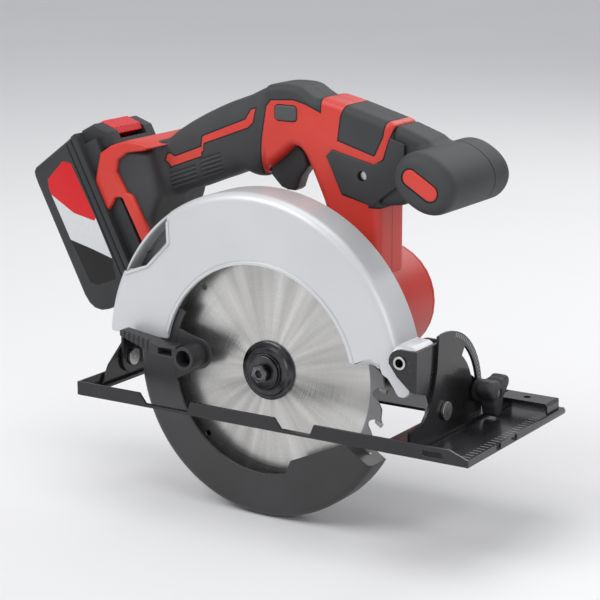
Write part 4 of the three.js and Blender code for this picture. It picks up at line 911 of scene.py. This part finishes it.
GRIP_TOP = [
    (-124, 164), (-106.9, 178.3), (-95, 185.6), (-83.5, 191.7), (-72.5, 197), (-62.3, 201.4),
    (-54, 204.5), (-46.2, 207.3), (-35.1, 212.7), (-25.6, 216.7), (-16.3, 218), (0.7, 217.1),
]
GRIP_UNDER = [
    (-118, 126), (-100, 134.5), (-85, 139.2), (-70, 145.2), (-58, 149.6), (-48, 153.6),
    (-40, 151), (-33, 151), (-24, 160), (-16, 167), (-6, 177), (1, 178),
]
BADGE = [
    (23.7, 172.6), (28.2, 177.3), (59.9, 169.8), (68.7, 173.2), (73, 188.7), (84, 185), (84, 160),
    (66, 147), (60.2, 141.5), (36.3, 148.6),
]


def grip_tube(half_width, sides=40, fullness=0.8):
    """The grip, drawn through full ovals that reach from its top line to its underside."""
    bm = bmesh.new()
    edges = []
    for (top_x, top_z), (under_x, under_z) in zip(GRIP_TOP, GRIP_UNDER):
        made = bmesh.ops.create_circle(bm, cap_ends=False, segments=sides, radius=1)
        for number, spot in enumerate(made["verts"]):
            turn = 2 * math.pi * number / sides
            up = math.copysign(abs(math.cos(turn)) ** fullness, math.cos(turn))
            side = math.copysign(abs(math.sin(turn)) ** fullness, math.sin(turn))
            share = (1 + up) / 2
            spot.co = place(
                under_x + (top_x - under_x) * share,
                HANDLE_Y + half_width * side,
                under_z + (top_z - under_z) * share,
            )
        edges.append(list({edge for spot in made["verts"] for edge in spot.link_edges}))
    for one, following in zip(edges, edges[1:]):
        bmesh.ops.bridge_loops(bm, edges=one + following)
    for end in (edges[0], edges[-1]):
        bmesh.ops.holes_fill(bm, edges=end)
    bmesh.ops.recalc_face_normals(bm, faces=bm.faces[:])
    return as_object(bm, "grip_tube")


def rounded_box(corners, round_mm, growth=0.0):
    """The outline of a box with rounded corners, drawn larger all round by the growth."""
    xs = [x for x, _ in corners]
    zs = [z for _, z in corners]
    left, right = min(xs) + round_mm, max(xs) - round_mm
    under, top = min(zs) + round_mm, max(zs) - round_mm
    radius = round_mm + growth
    return [
        *arc((right, top), radius, 0, 90, 5), *arc((left, top), radius, 90, 180, 5),
        *arc((left, under), radius, 180, 270, 5), *arc((right, under), radius, 270, 360, 5),
    ]


def battery_mouth():
    """The opening in the foot that the battery's rail slides into."""
    return slab("y", on_pack((11, 40), (11, 72.5), (104, 72.5), (104, 40)), 20.5, 83.5)


def badge_screw_hole():
    return disc("y", BADGE_SCREW, BADGE_SCREW_HOLE, 0, HANDLE_NEAR + 7, 0, 32)


def trigger_well(travel):
    moved = [(x + TRIGGER_PUSH[0] * travel, z + TRIGGER_PUSH[1] * travel) for x, z in TRIGGER]
    return slab("y", spread(moved, 0.8), 44.4, 59.6)


def handle():
    rear = slab("y", [(-200, 60), (-26, 60), (-26, 260), (-200, 260)], 0, 100)
    front = carve(slab("y", HANDLE, HANDLE_NEAR, HANDLE_FAR, 4.5, 3, clamp=False), rear)
    foot = slab("y", FOOT, FOOT_NEAR + 3, FOOT_FAR - 3, 5, 3, clamp=False)
    flare = [(-138, 166), (-112, 172), (-108, 128), (-122, 104)]
    flare = slab("y", flare, HANDLE_NEAR - 6, HANDLE_FAR + 6, 8, 4, clamp=False)
    skin = soften(gathered([front, grip_tube(HANDLE_HALF - 0.3), foot, flare]), 1.5, 5)
    skin = carve(
        skin,
        trigger_well(0),
        trigger_well(8),
        slab("y", rounded_box(BUTTON, BUTTON_ROUND, 0.5), 0, 100),
        battery_mouth(),
        badge_screw_hole(),
        disc("y", MOTOR, BARREL_RADIUS + 0.3, 40, 120, 0, 96),
        slab("y", arc(GUARD_CENTRE, GUARD_RADIUS + 1, 0, 355, 71), -10, GUARD_FAR + 4),
    )
    finished(skin, "handle_shown", "saw_body", handle_finish,
             ["housing_right", "housing_left", "grip_overmould_right", "grip_overmould_left"], 0)


def badges():
    for name, start in (("badge_right", HANDLE_NEAR - 1.5), ("badge_left", HANDLE_FAR - 1.5)):
        plate = slab("y", BADGE, start, start + 3, 0.9, 3, clamp=False)
        plate = carve(plate, badge_screw_hole())
        finished(plate, name, "saw_body", black_rubber, [], 0)


def foot_collar():
    collar = slab("y", COLLAR, FOOT_NEAR, FOOT_FAR, 2.2, 3, clamp=False)
    room = slab("y", spread(FOOT, -9), FOOT_NEAR + 5, FOOT_FAR - 5)
    collar = carve(collar, room, battery_mouth())
    finished(collar, "foot_collar", "saw_body", red_plastic, [], 0.5, 2, clamp=False)


def controls():
    trigger = slab("y", TRIGGER, 45, 59, 2.6, 4, clamp=False)
    finished(trigger, "trigger_shown", "trigger", dark_plastic, ["trigger"], 0)
    button = rounded_box(BUTTON, BUTTON_ROUND)
    button = slab("y", button, HANDLE_NEAR - 1, HANDLE_FAR + 1, 1.0, 3, clamp=False)
    finished(button, "lock_off_button_shown", "lock_off", grey_plastic,
             ["lock_off_button"], 0)
    x, z = BADGE_SCREW
    head = disc("y", (x, z), 3.1, 36.5, 38.5, 0.4, 32)
    cross = [
        slab("y", [(x - a, z - b), (x + a, z - b), (x + a, z + b), (x - a, z + b)], 30, 37.6)
        for a, b in ((1.8, 0.4), (0.4, 1.8))
    ]
    finished(carve(head, *cross), "badge_screw_head", "saw_body", bright_steel, [], 0)


def bar_outline(half_width, half_height, sides=64):
    """An oval laid along the front bar's wide direction."""
    tilt = math.radians(BAR_TILT)
    outline = []
    for i in range(sides):
        turn = 2 * math.pi * i / sides
        across = half_width * math.copysign(abs(math.cos(turn)) ** 0.9, math.cos(turn))
        up = half_height * math.copysign(abs(math.sin(turn)) ** 0.9, math.sin(turn))
        outline.append((
            BAR_CENTRE[0] + across * math.cos(tilt) - up * math.sin(tilt),
            BAR_CENTRE[1] + across * math.sin(tilt) + up * math.cos(tilt),
        ))
    return outline


def pill(reach, radius):
    left = polar(BAR_CENTRE, reach, BAR_TILT + 180)
    right = polar(BAR_CENTRE, reach, BAR_TILT)
    return [
        *arc(left, radius, BAR_TILT + 90, BAR_TILT + 270, 16),
        *arc(right, radius, BAR_TILT - 90, BAR_TILT + 90, 16),
    ]


def front_handle():
    low, high = HANDLE_Y - BAR_HALF_LENGTH, HANDLE_Y + BAR_HALF_LENGTH
    bar = slab("y", bar_outline(23.3, 18.3), low, high, 9.5, 7, clamp=False)
    neck = [
        (75, 197), (97, 189.5), (112, 178), (104, 150), (92, 151), (84, 155), (74, 158), (66, 164),
        (68, 180),
    ]
    neck = slab("y", neck, HANDLE_NEAR + 1.5, HANDLE_FAR - 1.5, 5, 4, clamp=False)
    lower = [(64.4, 141.5), (82, 144), (92, 152), (84, 170), (72, 172), (64.4, 160)]
    lower = slab("y", lower, HANDLE_NEAR + 0.5, HANDLE_FAR - 0.5, 3, 3, clamp=False)
    skin = soften(weld(bar, neck, lower), 1.4, 5)
    seats = [
        slab("y", pill(8.5, 6.4), low - 2, low + 1.4), slab("y", pill(8.5, 6.4), high - 1.4, high + 2),
    ]
    seam = HANDLE_FAR - 0.5
    groove = carve(
        slab("y", bar_outline(30, 25), seam - 0.45, seam + 0.45),
        slab("y", bar_outline(22.7, 17.7), seam - 2, seam + 2),
    )
    keep = slab("y", [(x, z) for x, z in HANDLE if x > 15] + [(15, 150)], 30, 74)
    skin = carve(skin, *seats, groove, keep)
    finished(skin, "front_handle_shown", "saw_body", black_rubber, ["front_handle"], 0)
    for side, start in (("right", low), ("left", high - 1.2)):
        cap = slab("y", pill(8.5, 5.3), start, start + 1.2, 0.6, 3)
        finished(cap, f"front_handle_cap_{side}_shown", "saw_body", red_plastic,
                 [f"front_handle_cap_{side}"], 0)


# ---------------------------------------------------------------- pivot pin and bevel knob


def pivot_pin():
    """A tube through both ears of the front bracket, its ends rolled over into thin rings."""
    bore, tube, rim = 2.9, 3.4, 4.4
    profile = [(bore, -22), (rim, -22), (rim, -20.6), (tube, -20.6), (tube, 17.4), (rim, 17.4),
               (rim, 18.9), (bore, 18.9)]
    turned_piece("depth_pivot_pin_shown", profile, PIVOT, "bevel_carriage", bright_steel,
                 ["depth_pivot_pin"])


STUD = (56.84, 19.75)  # (y, z) of the stud the knob turns on
KNOB_X = 128.1
KNOB_END = 145.6


def bevel_knob():
    hub = disc("x", STUD, 8.2, KNOB_X - 0.4, KNOB_END - 0.6, 1.2, 48)
    lobes = []
    for turn in (30, 150, 270):
        tip = polar(STUD, 11.4, turn)
        lobes.append(disc("x", tip, 5.0, KNOB_X + 6.4, KNOB_END + 0.4, 1.5, 32))
        lobes.append(disc("x", polar(STUD, 6, turn), 6.6, KNOB_X + 6.4, KNOB_END + 0.4, 1.5, 32))
    knob = soften(gathered([hub, *lobes]), 0.9, 6)
    knob = carve(knob, disc("x", STUD, 3.3, KNOB_X - 5, KNOB_END + 5, 0, 24))
    finished(knob, "bevel_knob_shown", "bevel_knob", dark_plastic, ["bevel_knob"], 0)


# ---------------------------------------------------------------- battery


PACK_NEAR = HANDLE_Y - PACK_HALF
PACK_FAR = HANDLE_Y + PACK_HALF
PACK_WALL = 4


def battery_case():
    back = [
        (0.4, 4), (2.2, 1.4), (6, 0.3), (12, 0), (100, 0), (107, 1.2), (112, 4), (115.5, 9), (117, 15),
    ]
    case = slab("y", on_pack(*back, (117, PACK_SEAM), (-6, PACK_SEAM)), PACK_NEAR, PACK_FAR, 3.2, 4)
    groove = slab("y", on_pack((-20, 39.6), (-20, 40.8), (140, 40.8), (140, 39.6)),
                  PACK_NEAR - 1, PACK_FAR + 1)
    core_end = PACK_LENGTH - 1.2
    core = slab("y", on_pack((-30, 0), (-30, 60), (core_end, 60), (core_end, 0)),
                PACK_NEAR + 1, PACK_FAR - 1)
    inner_end = PACK_LENGTH - PACK_WALL
    pocket = on_pack((PACK_WALL, PACK_WALL), (inner_end - 4, PACK_WALL), (inner_end, 14),
                     (inner_end, 46), (PACK_WALL, 46))
    pocket = slab("y", pocket, PACK_NEAR + 3, PACK_FAR - 3)
    case = carve(carve(case, carve(groove, core)), pocket)
    finished(case, "battery_case_shown", "battery", battery_finish,
             ["battery_case"], 0.3, 2, clamp=False)


def battery_cover():
    seam = PACK_SEAM + 0.4
    lid = slab("y", on_pack((-6.2, seam), (PACK_LENGTH, seam), (PACK_LENGTH, 50), (-7, 50)),
               PACK_NEAR, PACK_FAR, 1.2, 3)
    rail = slab("y", on_pack((2, 48), (103, 48), (103, 61.4), (2, 61.4)), 21.2, 82.8, 0.8, 2)
    head = slab("y", on_pack((-8.5, 48), (12, 48), (12, 71), (2, 71), (-8.5, 61)), 26, 78, 1.6, 3)
    button_room = slab("y", on_pack((-30, 51.6), (8, 51.6), (8, 74), (-30, 74)), 36.7, 67.3)
    hollow = slab("y", on_pack((6, 40), (96, 40), (96, 59), (6, 59)), 25, 79)
    cover = carve(weld(lid, rail, head), button_room, hollow)
    finished(cover, "battery_cover_shown", "battery", battery_finish,
             ["battery_cover"], 0.3, 2, clamp=False)


def battery_button():
    button = on_pack((-9.2, 52), (4, 52), (4, 69.5), (-1.2, 69.5), (-9.5, 61.5))
    button = slab("y", button, 37, 67, 1.2, 3)
    finished(button, "battery_button_shown", "battery_release", button_finish,
             ["battery_release_button"], 0.3, 2)


# ---------------------------------------------------------------- everything on the saw

upper_guard()
blade()
arbor_fittings()
lower_guard()
guard_lever()
handle()
badges()
foot_collar()
controls()
front_handle()
pivot_pin()
bevel_knob()
battery_case()
battery_cover()
battery_button()

CAD_SHOWN = {
    "base_plate": plate_enamel,
    "bevel_quadrant": quadrant_enamel,
    "rear_bevel_ear": painted_steel,
    "guide_bracket": painted_steel,
    "front_bracket": painted_steel,
    "rear_bracket": painted_steel,
    "depth_guide": painted_steel,
    "front_pivot_rivet": bright_steel,
    "rear_pivot_rivet": bright_steel,
    "bevel_stud": bright_steel,
    "guide_rivet": bright_steel,
    "depth_lock_bolt": bright_steel,
    "depth_lock_lever": dark_plastic,
    "motor_housing": red_plastic,
    "motor_end_cover": red_plastic,
    "gear_case": cast_aluminium,
}
for node_name, its_finish in CAD_SHOWN.items():
    from_cad(node_name, its_finish)

FINISH_OF_SLOT = {
    "painted_steel": painted_steel,
    "bright_steel": bright_steel,
    "blade_steel": blade_steel,
    "dark_chrome": dark_chrome,
    "silver_paint": silver,
    "cast_aluminium": cast_aluminium,
    "red_plastic": red_plastic,
    "black_rubber": black_rubber,
    "dark_plastic": dark_plastic,
    "battery_plastic": battery_finish,
    "button_red": button_finish,
    "winding": winding,
    "circuit_board": circuit_board,
    "cell_jacket": cell_jacket,
}
for node_name, node in frame["nodes"].items():
    node.data.materials.clear()
    node.data.materials.append(FINISH_OF_SLOT[SLOT_OF[node_name]].material)

# ---------------------------------------------------------------- floor, light and camera


def floor():
    finish = Finish("floor", Roughness=0.6)
    finish.set(Base_Color=finish.blend(finish.noise(3, 2), rgb(0.86, 0.86, 0.86), rgb(0.90, 0.90, 0.90)))
    bm = bmesh.new()
    bmesh.ops.create_grid(bm, x_segments=1, y_segments=1, size=4.0)
    bmesh.ops.translate(bm, verts=bm.verts[:], vec=(0, 0, -0.0735))
    ground = as_object(bm, "floor")
    ground.data.materials.append(finish.material)


def softbox(name, at, target, size, watts):
    lamp = bpy.data.lights.new(name, "AREA")
    lamp.shape = "RECTANGLE"
    lamp.size, lamp.size_y = size
    lamp.energy = watts
    holder = bpy.data.objects.new(name, lamp)
    bpy.context.scene.collection.objects.link(holder)
    holder.location = at
    holder.rotation_euler = (Vector(target) - Vector(at)).to_track_quat("-Z", "Y").to_euler()


def studio():
    floor()
    softbox("key", (-0.7, -1.3, 1.5), (0, 0, 0.05), (1.2, 0.9), 15)
    softbox("fill", (1.6, -1.0, 0.7), (0, 0, 0.05), (0.9, 1.1), 6)
    softbox("back", (0.2, 1.5, 1.2), (0, 0, 0.1), (1.6, 0.7), 9)
    softbox("top", (0, -0.1, 1.8), (0, -0.05, 0), (1.2, 1.2), 8)
    world = bpy.data.worlds.new("studio")
    bpy.context.scene.world = world
    world.use_nodes = True
    world.node_tree.nodes["Background"].inputs["Color"].default_value = (0.95, 0.96, 1.0, 1.0)
    world.node_tree.nodes["Background"].inputs["Strength"].default_value = 0.55
    bpy.context.scene.view_settings.view_transform = "Standard"


def camera():
    azimuth, elevation = math.radians(32.4), math.radians(13.5)
    target = Vector((0.0242, -0.079, 0.0799))
    back = Vector((
        math.sin(azimuth) * math.cos(elevation),
        -math.cos(azimuth) * math.cos(elevation),
        math.sin(elevation),
    ))
    lens = bpy.data.cameras.new("camera")
    lens.lens = 120
    lens.sensor_width = 36
    holder = bpy.data.objects.new("camera", lens)
    bpy.context.scene.collection.objects.link(holder)
    holder.location = target + back * 1.336
    holder.rotation_euler = back.to_track_quat("Z", "Y").to_euler()
    bpy.context.scene.camera = holder


studio()
camera()
